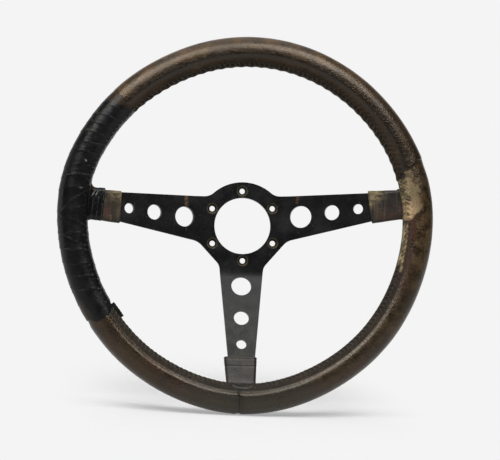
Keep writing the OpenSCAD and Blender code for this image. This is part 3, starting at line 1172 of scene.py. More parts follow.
@dataclass
class TapeBinding(RimShell):
    """Black tape wound round the left of the grip over the laced leather.

    Each of the creases has its clock angle, its slant in degrees for a degree of turn,
    and its strength.
    """

    creases: tuple[tuple[float, float, float], ...] = (
        (138.5, 0.02, 0.5), (142.0, 0.03, 0.6), (145.8, 0.02, 0.5), (149.0, 0.02, 0.6),
        (152.6, 0.03, 0.5), (156.0, 0.025, 0.7), (160.6, 0.02, 0.5), (163.9, 0.025, 0.9),
        (168.1, 0.02, 0.8), (171.7, 0.082, 1.0), (175.6, 0.05, 0.8), (179.5, -0.03, 0.6),
        (183.6, -0.005, 1.0), (186.6, -0.06, 0.8), (188.9, -0.013, 1.0), (194.0, -0.02, 1.0),
        (198.4, -0.03, 0.8), (203.2, -0.03, 0.7))
    edge_mm: float = 2.9
    turn_mm: float = 0.26
    slant_turn: float = 80.0

    def _lines(self, clock: Array, turn: Array) -> tuple[Array, Array]:
        """Where the windings' edges run.

        Args:
            clock: Clock angles in degrees.
            turn: Turns round the grip in degrees.

        Returns:
            Signed distance in mm to the nearest edge, and how strong that edge is.
        """
        wave = 0.35 * self.lumps.at(RIM.point(clock, turn, RIM.grip), 0.010, 3)
        best = np.full_like(clock, 99.0)
        strong = np.zeros_like(clock)
        for at, slant, weight in self.creases:
            d = (clock - at - slant * (turn - self.slant_turn) + wave) * self.edge_mm
            closer = np.abs(d) < np.abs(best)
            best = np.where(closer, d, best)
            strong = np.where(closer, weight, strong)
        return best, strong

    def height(self, clock: Array, turn: Array) -> Array:
        """Overlapped windings, drawn-in puckers and the lacing showing through.

        Args:
            clock: Clock angles in degrees.
            turn: Turns round the grip in degrees.

        Returns:
            Heights over the grip's surface in millimetres.
        """
        p = RIM.point(clock, turn, RIM.grip)
        d, strong = self._lines(clock, turn)
        stitches = np.sin(math.pi * (clock - RIM.left_joint) / RIM.stitch_step) ** 2
        lace = hump(RIM.round_mm(turn), 3.4) * (0.10 + 0.40 * stitches)
        wind = 0.16 * strong * ease(0.35, -0.35, d) * ease(-9.0, -0.4, d)
        fold = 0.32 * strong * hump(d, 0.6)
        up = (-0.12 + 0.26 * self.lumps.at(p + 2.0, 0.022, 3)
              + 0.14 * self.lumps.at(p + 4.0, 0.006, 3) + wind + fold + lace)
        up = up + 0.30 * ease(204, 209, clock) * ease(125, 70, turn)
        a = (clock - clock[:1]) * RIM.mm_per_degree
        b = (clock[-1:] - clock) * RIM.mm_per_degree
        return up - 0.45 * hump(a, 6.0) - 0.5 * hump(b, 0.5)

    def edge(self, turn: Array, last: bool) -> Array:
        """The lower end is cut on a slant and the upper one is ragged.

        Args:
            turn: Turns round the grip in degrees.
            last: Whether it is the last end and not the first.

        Returns:
            Degrees of clock that the end is moved by.
        """
        if last:
            return -2.2 * ease(105, 160, turn) - 5.0 * (1 - ease(-10, 75, turn))
        return 1.6 * np.sin(np.radians(turn * 2.0)) + 0.8 * np.sin(np.radians(turn * 5 + 40))

    def values(self, clock: Array, turn: Array) -> dict[str, Array]:
        """Where the tape is creased, worn through, mossy or flecked, and where highlights on the
        raised stitches under it are painted.

        Args:
            clock: Clock angles in degrees.
            turn: Turns round the grip in degrees.

        Returns:
            Values by name, one for each place.
        """
        p = RIM.point(clock, turn, RIM.grip)
        d, strong = self._lines(clock, turn)
        fine = self.lumps.at(p + 5.0, 0.003, 2)
        fade = (ease(143.5, 134.0, clock + 3.5 * (1 - ease(20, 130, turn)))
                + 1.1 * ease(198, 211, clock) * ease(100, 150, turn))
        broken = ease(-0.15, 0.35, self.lumps.at(p + 6.0, 0.007, 3))
        crease = 1.1 * strong * hump(d, 0.34) * broken * inside(turn, 40, 118, 25)
        t = (clock - RIM.left_joint) / RIM.stitch_step
        # Painted highlights on the raised stitches that show through the tape.
        lace_bump_highlights = (hump(RIM.round_mm(turn) - 5.0, 1.2)
                 * hump((t % 1.0 - 0.5) * RIM.stitch_mm, 0.9) * inside(clock, 184, 210, 3))
        fleck = (0.4 * hump((clock - 168.3) * self.edge_mm, 0.6)
                 * hump((turn - 66) * self.turn_mm, 1.6)
                 + hump((clock - 159.0) * self.edge_mm + (turn - 80) * 0.1, 0.5)
                 * hump((turn - 78) * self.turn_mm, 1.0))
        moss = 0.75 * inside(clock, 137, 155, 6) * inside(turn, 125, 178, 12)
        return {"crease": np.maximum(crease, 0.8 * lace_bump_highlights * ease(-0.3, 0.3, fine)),
                "worn": fade, "moss": moss * ease(-0.1, 0.4, fine), "fleck": fleck}


@dataclass
class GripCore:
    """The moulded core under the leather, pulled out of round with the rest of the rim."""

    steps: tuple[int, int] = (360, 48)
    clearance: float = 0.0001

    def build(self, material: bpy.types.Material) -> bpy.types.Object:
        """Makes the core as one closed ring.

        Args:
            material: The finish.

        Returns:
            The piece.
        """
        clock, turn = np.meshgrid(*(np.arange(k) * 360.0 / k for k in self.steps), indexing="ij")
        rings = RIM.point(clock, turn, RIM.core - self.clearance)
        return piece_from("grip_core_moulding", rings, ring_faces(rings), material,
                          ("grip_core",))


# ---------------------------------------------------------------- spoke ends


@dataclass
class SpokeWrap:
    """A closed tube wrapped round a spoke's end, drawn in and turned out at the grip."""

    spoke: Spoke
    at: float
    width: float = 0.0318
    half: float = 0.0036
    foot: float = 0.1640
    draw: tuple[float, float] = (0.0012, 0.0)
    fillet: float = 0.0026
    fillet_back: float = 0.0085
    lower_fillet: float = 0.4
    lumps: Lumps = Lumps(8)
    past_foot: float = 0.0
    ends: tuple[tuple[float, float], ...] = (
        (0.0, -0.0012), (0.0, -0.0005), (0.0002, -0.00015), (0.0006, 0.0))
    evenly_from: float = 0.0012
    rings: int = 44
    round: int = 120

    @property
    def length(self) -> float:
        """Length along the spoke."""
        return (self.foot + self.past_foot - self.at) / math.cos(self.spoke.slope)

    def flare(self, s: float) -> float:
        """How far the wrap stands out from the sleeve's place at distance s along it."""
        return 0.0

    def ring(self, s: float, section: Array) -> Array:
        """The section's points at distance s, with creases and seams."""
        raise NotImplementedError

    def section(self, s: float, flare: float) -> Array:
        """Points round the sleeve at one place along it.

        Args:
            s: Distance along the sleeve from its inner end.
            flare: How far the wrap stands out beyond its usual place.

        Returns:
            Array of y, z and the outward direction's y, z for each point.
        """
        half, straight = self.half, self.width / 2 - self.half
        turn = math.pi * half
        share = min(max(s, 0.0) / (self.foot - self.at), 1.0)
        short = max(self.fillet - max(self.foot - self.fillet_back - self.at - s, 0.0), 0.0)
        corner = self.fillet - math.sqrt(self.fillet ** 2 - short ** 2)
        out = []
        for a in np.arange(self.round) / self.round * (4 * straight + 2 * turn):
            a = float(a)
            if a < 2 * straight:
                y, z, ny, nz = -half, straight - a, -1.0, 0.0
            elif a < 2 * straight + turn:
                w = (a - 2 * straight) / half
                ny, nz = -math.cos(w), -math.sin(w)
                y, z = half * ny, -straight + half * nz
            elif a < 4 * straight + turn:
                y, z, ny, nz = half, a - 3 * straight - turn, 1.0, 0.0
            else:
                w = (a - 4 * straight - turn) / half
                ny, nz = math.cos(w), math.sin(w)
                y, z = half * ny, straight + half * nz
            draw = self.draw[0] if z > 0 else self.draw[1]
            spread = max(nz, 0.0) * corner + min(nz, 0.0) * corner * self.lower_fillet
            out.append((y + ny * flare,
                        z * (1 - draw * share / (self.width / 2)) + nz * flare + spread, ny, nz))
        return np.array(out)

    def wrap(self, name: str, slot: str, node: str, material: bpy.types.Material,
             values: Callable[[Array, Array, Array], dict[str, Array]]) -> bpy.types.Object:
        """Wraps the tube.

        Args:
            name: Name of the piece.
            slot: The record's material slot; not used.
            node: The frame's node that it replaces.
            material: The finish.
            values: What the mesh carries, from distances along, across and backwards.

        Returns:
            The piece.
        """
        even = np.linspace(self.evenly_from, self.length, self.rings)
        rows, across, along = [], [], []
        for s, down in (*self.ends, *((float(s), 0.0) for s in even)):
            section = self.section(s, self.flare(s) + down)
            rows.append(self.ring(s, section))
            across.append(section[:, 1])
            along.append(np.full(self.round, s))
        points = np.array(rows)
        flat = points.reshape(-1, 3)
        frame_at = self.spoke.frame(self.at)
        turned = np.array([frame_at @ Vector(p) for p in flat.tolist()])
        return piece_from(name, turned, ring_faces(points, closed=False), material,
                          (node,), values(np.ravel(along), np.ravel(across), flat[:, 1]))


@dataclass
class SpokeSleeve(SpokeWrap):
    """Leather sleeve wrapped round a spoke's end and turned out on to the grip."""

    shift: float = 0.0
    skew: float = 0.0
    lines: tuple[float, ...] = ()
    lip: float = 0.0

    def flare(self, s: float) -> float:
        """The turned-out leather at the grip."""
        return self.lip * math.exp(-(((self.length - 0.008 - s) / 0.0016) ** 2))

    def ring(self, s: float, section: Array) -> Array:
        """Soft lumps, the seam at the back and the pressed lines across.

        Args:
            s: Distance along the spoke from the inner end.
            section: Points and outward directions round the spoke there.

        Returns:
            The ring's points, in the spoke's own frame.
        """
        slant = self.skew * section[:, 1] * (1 - s / self.length)
        base = np.stack([s + slant, section[:, 0], section[:, 1] + self.shift], -1)
        noise = (self.lumps.at(base, 0.006, 3) * 0.00022
                 + self.lumps.at(base + 1, 0.02, 2) * 0.0003)
        seam = 0.0003 * hump(section[:, 1], 0.0006) * (section[:, 0] > 0)
        seam = seam + sum(0.0003 * hump(s - at, 0.0004) for at in self.lines)
        base[:, 1:] += section[:, 2:] * (noise - seam + 0.00015)[:, None]
        return base

    def build(self, material: bpy.types.Material, stain: Callable[[Array, Array], Array],
              rub: Callable[[Array, Array], Array]) -> bpy.types.Object:
        """Wraps the sleeve.

        Args:
            material: The finish.
            stain: Strength of the stain, from distances along and across the sleeve.
            rub: Strength of the rubbing, likewise.

        Returns:
            The piece.
        """
        name = "sleeve_" + self.spoke.name
        return self.wrap(name + "_leather", "sleeve_leather", name, material,
                         lambda along, across, back: {
                             "stain": stain(along, across) * (back < 0.001),
                             "rub": rub(along, across)})


@dataclass
class TapeOnSleeve(SpokeWrap):
    """The tape's turns over the outer part of the left sleeve, and its blend into the grip."""

    at: float = 0.1405
    draw: tuple[float, float] = (0.0038, 0.0)
    fillet: float = 0.0082
    lumps: Lumps = Lumps(21)
    past_foot: float = 0.001
    ends: tuple[tuple[float, float], ...] = ((0.0, -0.0009), (0.0, 0.0), (0.0003, 0.0))
    evenly_from: float = 0.0008
    rings: int = 50
    round: int = 150
    winding: float = 0.0052

    def flare(self, s: float) -> float:
        """The tape's own thickness, its overlaps and its rise on to the grip.

        Args:
            s: Distance along the spoke from the inner end.

        Returns:
            How far it stands out there, in metres.
        """
        left = max(self.length - self.fillet_back - s, 0.0)
        step = 0.00025 * (math.floor((s + 0.001) / self.winding) % 2)
        return 0.0007 + 0.00096 * math.exp(-((left / 0.0034) ** 2)) + step

    def ring(self, s: float, section: Array) -> Array:
        """Puckers along and across the windings.

        Args:
            s: Distance along the spoke from the inner end.
            section: Points and outward directions round the spoke there.

        Returns:
            The ring's points, in the spoke's own frame.
        """
        base = np.stack([np.full(len(section), s), section[:, 0], section[:, 1]], -1)
        noise = (self.lumps.at(base, 0.004, 3) * 0.00025
                 + self.lumps.at(base * np.array([2.6, 1, 1]) + 1, 0.012, 2) * 0.00045)
        base[:, 1:] += section[:, 2:] * noise[:, None]
        return base

    def worn(self, along: Array, across: Array, back: Array) -> dict[str, Array]:
        """Where it is creased between windings, rubbed brown or flecked.

        Args:
            along: Distances along the sleeve.
            across: Distances across it.
            back: Distances backwards from its middle plane.

        Returns:
            Values by name, one for each point.
        """
        fleck = (hump(along - 0.0085 + (across - 0.010) * 0.4, 0.0004)
                 * hump(across - 0.0095, 0.002)
                 + hump(along - 0.0115 + (across - 0.010) * 0.5, 0.0004)
                 * hump(across - 0.0085, 0.0022))
        return {"crease": 0.6 * hump(np.mod(along, self.winding) - 0.0012, 0.0003),
                "worn": ease(0.0105, 0.0135, across) * ease(0.006, 0.016, along),
                "moss": along * 0, "fleck": fleck * (back < 0)}

    def build(self, material: bpy.types.Material) -> bpy.types.Object:
        """Winds the tape round the sleeve."""
        return self.wrap("tape_over_sleeve", "tape", "tape_wrap", material, self.worn)


@dataclass
class SleeveLip:
    """The edge of the lower sleeve, turned out on to the grip and lying on its band."""

    name: str
    clock: float
    half: float = 4.6
    low: float = -28.0
    deep: float = 56.0
    grid: tuple[int, int] = (72, 48)
    sink: float = 0.0019
    lumps: Lumps = Lumps(13)

    def build(self, material: bpy.types.Material) -> bpy.types.Object:
        """Makes the lip as a thin closed patch that follows the grip.

        Args:
            material: The finish.

        Returns:
            The piece.
        """
        n, m = self.grid
        across, down = np.meshgrid(np.linspace(-1, 1, n), np.linspace(0, 1, m), indexing="ij")
        clock = self.clock + self.half * across * (1 - 0.10 * down)
        turn = self.low + (self.deep - self.low - 22 * np.abs(across) ** 3) * down
        edge = np.minimum((1 - down) * 9.0, (1 - np.abs(across)) * 12.0)
        roll = 0.00080 * hump(edge - 1.5, 1.0) - 0.0011 * hump(edge, 0.6)
        grain = self.lumps.at(RIM.point(clock, turn, RIM.grip), 0.003, 2)
        outer = RIM.point(clock, turn, RIM.grip - 0.0001 + roll + 0.00012 * grain)
        inner = RIM.point(clock, turn, RIM.grip - self.sink)
        none = np.zeros(2 * n * m)
        return piece_from(self.name, np.stack([outer, inner]), patch_faces(n, m), material,
                          values={"stain": none, "rub": none})


@dataclass
class TapeTail:
    """The loose end of the tape that stands clear of the grip towards the hub."""

    turn: float = -214.0
    length: float = 0.0165
    reach: float = 0.0082
    clear: float = 0.0046
    ahead: float = 0.0045
    thick: float = 0.00045
    grid: tuple[int, int] = (44, 26)

    def build(self, material: bpy.types.Material) -> bpy.types.Object:
        """Makes the tail as a thin curled strip.

        Args:
            material: The finish.

        Returns:
            The piece.
        """
        w, v = np.meshgrid(*(np.linspace(0, 1, k) for k in self.grid), indexing="ij")
        ragged = 0.00012 * np.sin(w * 31) * (1 - v) + 0.0002 * np.sin(w * 5 + 1)
        x = RIM.radius - RIM.grip - self.clear + ragged + v * self.reach
        curl = 0.0010 * (1 - v) ** 2 * np.cos(w * 3.1) + 0.00012 * np.sin(w * 9 + v * 4)
        y = -RIM.dish - self.ahead - curl
        z = (w - 0.5) * self.length
        sides = np.stack([np.stack([x, y + k * self.thick, z], -1) for k in (0, 1)])
        place = np.array(Matrix.Rotation(math.radians(self.turn), 3, "Y"))
        none = np.zeros(sides[..., 0].size)
        return piece_from("tape_loose_end", sides @ place.T, patch_faces(*self.grid), material,
                          ("tape_tail",),
                          {key: none for key in ("crease", "worn", "moss", "fleck")})


# ---------------------------------------------------------------- lacing


@dataclass
class Lacing:
    """Thread laced over the seam, one slanted stitch after another."""

    name: str
    start: float
    end: float
    node: str
    length: float = 0.0056
    thread: float = 0.0010
    slant: float = 24.0
    uneven: float = 7.0
    seed: int = 11
    gaps: tuple[tuple[float, float], ...] = ((7.6, 7.4), (172.4, 7.4), (268.4, 7.0))

    def spots(self) -> tuple[Array, Array, Array]:
        """Places of the stitches, the directions out of the grip and those along the seam.

        Returns:
            The three as arrays whose last axis is x, y, z.
        """
        count = math.floor((self.end - self.start) / RIM.stitch_step - 0.5)
        clock = self.start + (np.arange(count + 1) + 0.5) * RIM.stitch_step
        for at, half in self.gaps:
            clock = clock[np.abs(signed(clock - at)) > half]
        turn = np.full_like(clock, RIM.seam_turn)
        a = np.radians(clock)
        along = np.stack([-np.sin(a), 0 * a, np.cos(a)], -1)
        return RIM.point(clock, turn, RIM.grip - 0.0002), RIM.outward(clock, turn), along

    def tree(self) -> bpy.types.NodeTree:
        """Writes the node tree that sews the stitches.

        Returns:
            A geometry node tree with the stitch's sizes as named inputs.
        """
        group = bpy.data.node_groups.new("sew_" + self.name, "GeometryNodeTree")
        for label, kind, way in (
                ("Geometry", "Geometry", "INPUT"), ("Stitch Length", "Float", "INPUT"),
                ("Thread Radius", "Float", "INPUT"), ("Slant", "Float", "INPUT"),
                ("Unevenness", "Float", "INPUT"), ("Seed", "Int", "INPUT"),
                ("Finish", "Material", "INPUT"), ("Geometry", "Geometry", "OUTPUT")):
            group.interface.new_socket(label, in_out=way, socket_type="NodeSocket" + kind)
        given = group.nodes.new("NodeGroupInput").outputs

        def add(kind: str, inputs: Inputs, output: int = 0,
                **settings: Any) -> bpy.types.NodeSocket:
            """Puts down one node with its settings, values and links, for one output.

            Args:
                kind: The node's type.
                inputs: Values or links of its sockets.
                output: Number of the output to hand back.
                **settings: Properties of the node, which are set first.

            Returns:
                The chosen output.
            """
            made = group.nodes.new(kind)
            for key, value in settings.items():
                setattr(made, key, value)
            for key, value in inputs.items():
                if isinstance(value, bpy.types.NodeSocket):
                    group.links.new(value, made.inputs[key])
                else:
                    made.inputs[key].default_value = value
            return made.outputs[output]

        def times(first: bpy.types.NodeSocket, second: Any) -> bpy.types.NodeSocket:
            """Product."""
            return add("ShaderNodeMath", {0: first, 1: second}, operation="MULTIPLY")

        half = times(given["Stitch Length"], 0.5)
        low = times(given["Thread Radius"], -1.1)
        bow = add("GeometryNodeCurveQuadraticBezier", {
            "Resolution": 7,
            "Start": add("ShaderNodeCombineXYZ", {1: times(half, -1.0), 2: low}),
            "Middle": add("ShaderNodeCombineXYZ", {2: times(given["Thread Radius"], 2.4)}),
            "End": add("ShaderNodeCombineXYZ", {1: half, 2: low})})
        ring = add("GeometryNodeCurvePrimitiveCircle", {
            "Resolution": 8, "Radius": given["Thread Radius"]}, mode="RADIUS")
        strand = add("GeometryNodeCurveToMesh", {
            "Curve": bow, "Profile Curve": ring, "Fill Caps": True})
        outward, along = (
            add("GeometryNodeInputNamedAttribute", {"Name": name}, data_type="FLOAT_VECTOR")
            for name in ("outward", "along"))
        stand = add("FunctionNodeAlignRotationToVector", {"Vector": outward}, axis="Z")
        face_on = add("FunctionNodeAlignRotationToVector", {
            "Rotation": stand, "Vector": along}, axis="X", pivot_axis="Z")
        random = add("FunctionNodeRandomValue", {
            "Min": -1.0, "Max": 1.0, "Seed": given["Seed"]}, output=1, data_type="FLOAT")
        lean = add("ShaderNodeMath", {
            0: given["Slant"], 1: times(random, given["Unevenness"])}, operation="ADD")
        turn = add("FunctionNodeRotateRotation", {
            "Rotation": face_on, "Rotate By": add("ShaderNodeCombineXYZ", {2: lean})},
            rotation_space="LOCAL")
        points = add("GeometryNodeMeshToPoints", {"Mesh": given["Geometry"]})
        sewn = add("GeometryNodeInstanceOnPoints", {
            "Points": points, "Instance": strand, "Rotation": turn})
        real = add("GeometryNodeRealizeInstances", {"Geometry": sewn})
        dressed = add("GeometryNodeSetMaterial", {
            "Geometry": real, "Material": given["Finish"]})
        group.links.new(dressed, group.nodes.new("NodeGroupOutput").inputs[0])
        return group

    def build(self, material: bpy.types.Material) -> bpy.types.Object:
        """Sews the stitches of one length.

        Args:
            material: The finish of the thread.

        Returns:
            The stitches as one plain mesh.
        """
        places, outward, along = self.spots()
        seed = bpy.data.meshes.new(self.name + "_spots")
        seed.from_pydata(places.tolist(), [], [])
        for key, rows in (("outward", outward), ("along", along)):
            layer = seed.attributes.new(key, "FLOAT_VECTOR", "POINT")
            layer.data.foreach_set("vector", rows.astype(np.float32).ravel())
        spots = bpy.data.objects.new(self.name + "_spots", seed)
        bpy.context.scene.collection.objects.link(spots)
        sew = spots.modifiers.new("Sew", "NODES")
        sew.node_group = self.tree()
        sizes = {"Stitch Length": self.length, "Thread Radius": self.thread / 2,
                 "Slant": math.radians(self.slant), "Unevenness": math.radians(self.uneven),
                 "Seed": self.seed, "Finish": material}
        for item in sew.node_group.interface.items_tree:
            if item.in_out == "INPUT" and item.name in sizes:
                sew[item.identifier] = sizes[item.name]
        bpy.context.view_layer.update()
        graph = bpy.context.evaluated_depsgraph_get()
        mesh = bpy.data.meshes.new_from_object(spots.evaluated_get(graph))
        bpy.data.objects.remove(spots)
        mesh.name = self.name
        for f in mesh.polygons:
            f.use_smooth = True
        return placed(self.name, mesh, (self.node,))


# ---------------------------------------------------------------- the studio


@dataclass(frozen=True)
class SoftBox:
    """One area lamp that faces the wheel."""

    name: str
    place: tuple[float, float, float]
    size: tuple[float, float]
    watts: float
    aim: tuple[float, float, float] = (0.0, -0.03, 0.0)

    def hang(self) -> None:
        """Hangs the lamp."""
        data = bpy.data.lights.new(self.name, "AREA")
        data.shape, data.energy = "RECTANGLE", self.watts
        data.size, data.size_y = self.size
        made = bpy.data.objects.new(self.name, data)
        made.location = self.place
        look = Vector(self.aim) - Vector(self.place)
        made.rotation_euler = look.to_track_quat("-Z", "Y").to_euler()
        bpy.context.scene.collection.objects.link(made)


@dataclass(frozen=True)
class Studio:
    """Pale floor, soft light and the camera.

    The floor leans and rolls a little, so that the shadow lies as in the photograph, and
    its colour over its place (pale: a constant, then y, y squared and x) evens the light
    that falls on it.
    """

    white: float = 0.905
    distance: float = 2.0
    sensor: float = 36.0
    lens_px: float = 1989.0
    photo_px: tuple[int, int] = (500, 460)
    aim_right: float = 0.00788
    aim_down: float = 0.00384
    right: tuple[float, float, float] = (0.99584, -0.09111, -0.00331)
    up: tuple[float, float, float] = (-0.00270, -0.06578, 0.99783)
    lean: float = 7.0
    roll: float = 2.5
    floor_size: float = 1.6
    floor_rings: int = 24
    floor_sides: int = 96
    shadow: float = 0.62
    bounce: Colour = (0.34, 0.34, 0.34)
    room: tuple[float, float] = (0.040, 0.27)
    pale: tuple[float, float, float, float] = (0.664, 0.355, 0.305, 0.081)
    lamps: tuple[SoftBox, ...] = (
        SoftBox("key_left", (-0.66, -0.98, 1.18), (1.00, 1.00), 24.0),
        SoftBox("key_right", (0.54, -1.05, 1.12), (1.00, 1.00), 22.5),
        SoftBox("top", (0.0, 0.12, 1.50), (1.20, 0.90), 4.0),
        SoftBox("side", (-1.35, 0.22, 0.05), (0.50, 1.10), 2.5))

    def camera(self) -> None:
        """Sets up the camera at the photograph's angle."""
        right, up = Vector(self.right).normalized(), Vector(self.up).normalized()
        back = right.cross(up)
        place = back * self.distance + right * self.aim_right - up * self.aim_down
        data = bpy.data.cameras.new("camera")
        data.sensor_fit, data.sensor_width = "HORIZONTAL", self.sensor
        data.lens = self.lens_px * self.sensor / self.photo_px[0]
        data.clip_end = 50
        made = bpy.data.objects.new("camera", data)
        made.matrix_world = Matrix((
            (right.x, up.x, back.x, place.x), (right.y, up.y, back.y, place.y),
            (right.z, up.z, back.z, place.z), (0, 0, 0, 1)))
        bpy.context.scene.collection.objects.link(made)
        bpy.context.scene.camera = made

    def world(self) -> None:
        """White backdrop all round for the camera, and a darker room in front for the light."""
        world = bpy.data.worlds.new("studio")
        bpy.context.scene.world = world
        board = Board(world)
        _, y, z = board.axes(board.node("ShaderNodeTexCoord", output="Generated"))
        seen, through, glossy = board.rays()
        dark, lit, white = (board.node("ShaderNodeBackground", inputs={
            "Color": (1.0, 1.0, 1.0), "Strength": strength})
            for strength in (*self.room, self.white))
        room = board.mixed(z.step(0.30, 0.85) * 0.57 + y.step(0.25, 0.9) * 0.43, dark, lit)
        behind = seen.most(through).most(glossy * y.step(0.45, 0.85))
        board.end("ShaderNodeOutputWorld", board.mixed(behind, room, white))

    def floor_finish(self) -> bpy.types.Material:
        """White but for the shadow by the wheel's foot, and clear when seen from below.

        Returns:
            The floor's material.
        """
        made = bpy.data.materials.new("pale_floor")
        board = Board(made)
        x, y, _ = board.axes(board.place())
        near = abs(x).step(0.20, 0.08) * y.step(0.62, 0.22) * y.step(-0.30, -0.10)
        camera, through, glossy = board.rays()
        seen = camera.most(through).most(glossy)
        even = (self.pale[0] + y * self.pale[1] + y * y * self.pale[2]
                + x * self.pale[3]).least(0.9)
        pale = board.blend(even, (0.0, 0.0, 0.0), (1.0, 1.0, 1.0))
        plain = board.node("ShaderNodeBsdfPrincipled", inputs={
            "Base Color": board.blend(seen, self.bounce, pale), "Roughness": 1.0,
            "Specular IOR Level": 0.0})
        glow = board.node("ShaderNodeEmission", inputs={
            "Color": (1.0, 1.0, 1.0), "Strength": self.white})
        lit = board.mixed(seen * (1.0 - near * self.shadow), plain, glow)
        below = board.node("ShaderNodeNewGeometry", output="Backfacing")
        clear = board.node("ShaderNodeBsdfTransparent")
        board.end("ShaderNodeOutputMaterial", board.mixed(camera * below, lit, clear))
        return made

    def floor(self) -> None:
        """Lays the floor under the wheel's lowest place."""
        roll = Matrix.Rotation(math.radians(self.roll), 3, "Y")
        turn = roll @ Matrix.Rotation(math.radians(self.lean), 3, "X")
        reach = RIM.radius + float(RIM.bent(np.array(270.0 - self.roll)))
        centre = (roll @ Vector((0, 0, -reach)) - Vector((0, RIM.dish, 0))
                  - turn @ Vector((0, 0, RIM.grip + 0.0004)))
        rings, sides = self.floor_rings, self.floor_sides
        points = [centre]
        for k, i in product(range(1, rings + 1), range(sides)):
            angle = 2 * math.pi * i / sides
            flat = Vector((math.cos(angle), math.sin(angle), 0))
            points.append(centre + turn @ flat * self.floor_size * k / rings)
        faces: list[tuple[int, ...]] = [(0, 1 + i, 1 + (i + 1) % sides) for i in range(sides)]
        for k, i in product(range(rings - 1), range(sides)):
            a, b = 1 + k * sides + i, 1 + k * sides + (i + 1) % sides
            faces.append((a, a + sides, b + sides, b))
        mesh = bpy.data.meshes.new("floor")
        mesh.from_pydata([tuple(p) for p in points], [], faces)
        mesh.materials.append(self.floor_finish())
        made = bpy.data.objects.new("floor", mesh)
        bpy.context.scene.collection.objects.link(made)

    def build(self) -> None:
        """Sets the whole studio up."""
        bpy.context.scene.view_settings.view_transform = "Standard"
        self.camera()
        self.world()
        self.floor()
        for lamp in self.lamps:
            lamp.hang()


# ---------------------------------------------------------------- the wheel


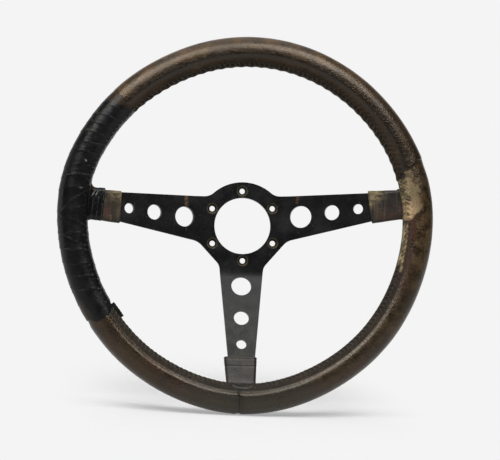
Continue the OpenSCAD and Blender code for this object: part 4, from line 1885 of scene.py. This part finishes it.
@dataclass
class Wheel:
    """The whole wheel, dressed piece by piece."""

    finishes: dict[str, bpy.types.Material] = field(default_factory=dict)

    def mix(self) -> None:
        """Writes every finish once."""
        dim = {"Specular IOR Level": 0.22}
        soft = {"Specular IOR Level": 0.36}
        polished = {"Specular IOR Level": 0.44, "Specular Tint": (1.0, 0.89, 0.76, 1.0)}
        metal = {"Metallic": 1.0}
        steel = linear(120, 112, 102)
        finishes = {
            "spoke_plate": SatinPlate("satin_black_plate", dim),
            "rim_leather": RimLeather("rim_leather_worn", polished),
            "sleeve_left": SleeveLeather("sleeve_leather_rubbed", soft),
            "sleeve_lower": SleeveLeather("sleeve_leather_grey", soft, deep=linear(29, 26, 21),
                                          mid=linear(43, 39, 32), streaks=0.25),
            "sleeve_right": SleeveLeather("sleeve_leather_dark", soft, deep=linear(17, 12, 8),
                                          mid=linear(45, 36, 22), streaks=0.55),
            "tape": TapeFilm("binding_tape", dim),
            "thread": Mottled(
                "waxed_thread", first=linear(64, 56, 43), second=linear(26, 22, 17),
                blotch=(160, 4, 0.7), steps=(0.35, 0.68), dull=(0.6, 0.2), dull_noise=(300, 2),
                grain=(2400, 2, 0.5), depth=0.0001, twist=((1.0, 1.0, 0.4), (0.6, 0.0, 0.4))),
            "hoop": Mottled("hoop_steel", metal, first=linear(176, 174, 170), second=steel),
            "rivets": Mottled("rivet_steel", metal, first=linear(190, 188, 184), second=steel),
            "core": Mottled(
                "grip_moulding", first=linear(44, 44, 42), second=linear(66, 65, 61),
                blotch=(150, 4, 0.55), steps=(0.35, 0.7), dull=(0.62, 0.15),
                dull_noise=(200, 2), grain=(600, 3, 0.55), depth=0.0001)}
        self.finishes = {name: finish.material() for name, finish in finishes.items()}

    def dress_frame(self) -> None:
        """Gives the frame's own parts their finishes."""
        for node, finish in (("spoke_plate", "spoke_plate"), ("rim_hoop", "hoop"),
                             ("rivets_left", "rivets"), ("rivets_right", "rivets"),
                             ("rivets_lower", "rivets")):
            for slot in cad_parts[node].material_slots:
                slot.material = self.finishes[finish]
            log.info("%s: dressed in %s", node, self.finishes[finish].name)

    def leather(self) -> None:
        """Covers the rim in its three lengths."""
        upper = {"gathers": 0.62, "roll_off": 3.4, "roll_wide": 2.3}
        for which, start, end, sizes in (
                (Length.UPPER, RIM.right_joint, RIM.left_joint, upper),
                (Length.LOWER_LEFT, RIM.left_joint, RIM.lower_joint, {}),
                (Length.LOWER_RIGHT, RIM.lower_joint, RIM.right_joint + 360, {})):
            name = "leather_" + which.value
            LeatherLength(name + "_cover", start, end, (name,), "rim_leather",
                          RIM.core + 0.0002, which=which,
                          **sizes).build(self.finishes["rim_leather"])

    def lacing(self) -> None:
        """Laces the three lengths."""
        for name, start, end in (("upper", RIM.right_joint, RIM.left_joint),
                                 ("lower_left", RIM.left_joint, RIM.lower_joint),
                                 ("lower_right", RIM.lower_joint, RIM.right_joint + 360)):
            Lacing("lacing_" + name, start, end, "stitching_" + name).build(
                self.finishes["thread"])

    def sleeves(self) -> None:
        """Wraps the three spoke ends; a runs along each sleeve and b across it."""
        SpokeSleeve(Spoke("left"), 0.1232, draw=(0.0038, 0.0), skew=0.07).build(
            self.finishes["sleeve_left"],
            lambda a, b: hump(a - 0.0155, 0.004) * hump(b + 0.006, 0.006),
            lambda a, b: 0.75 * ease(0.002, 0.012, b) * ease(0.018, 0.008, a))
        SpokeSleeve(Spoke("right"), 0.126, width=0.0325, draw=(0.0044, 0.0), shift=0.0003,
                    fillet=0.0012, lumps=Lumps(9)).build(
            self.finishes["sleeve_right"],
            lambda a, b: 0.35 * ease(0.004, -0.008, b) * ease(0.0, 0.010, a),
            lambda a, b: (ease(0.000, 0.011, b + 0.55 * (0.010 - a)) * ease(0.032, 0.006, a)
                          + ease(0.0022, 0.0008, a) * ease(-0.002, 0.006, b)))
        SpokeSleeve(Spoke("lower"), 0.132, width=0.0323, foot=0.1655, draw=(0.0018, 0.0028),
                    shift=-0.001, fillet=0.0, lines=(0.0024, 0.0100), lip=0.0004,
                    lumps=Lumps(10)).build(
            self.finishes["sleeve_lower"], lambda a, b: a * 0.0, lambda a, b: a * 0.0)
        SleeveLip("sleeve_lower_lip", 268.5).build(self.finishes["sleeve_lower"])

    def tape(self) -> None:
        """Binds the worn left side."""
        TapeBinding("tape_binding", 133.0, 214.0, (), "tape", RIM.grip - 0.0006,
                    lumps=Lumps(17)).build(self.finishes["tape"])
        TapeOnSleeve(Spoke("left")).build(self.finishes["tape"])
        TapeTail().build(self.finishes["tape"])

    def build(self) -> None:
        """Builds the wheel in order."""
        self.mix()
        self.dress_frame()
        GripCore().build(self.finishes["core"])
        self.leather()
        self.lacing()
        self.sleeves()
        self.tape()


def main() -> None:
    """Builds the wheel and its studio."""
    logging.basicConfig(level=logging.INFO, format="%(name)s: %(message)s")
    Wheel().build()
    Studio().build()


if __name__ == "__main__":
    main()
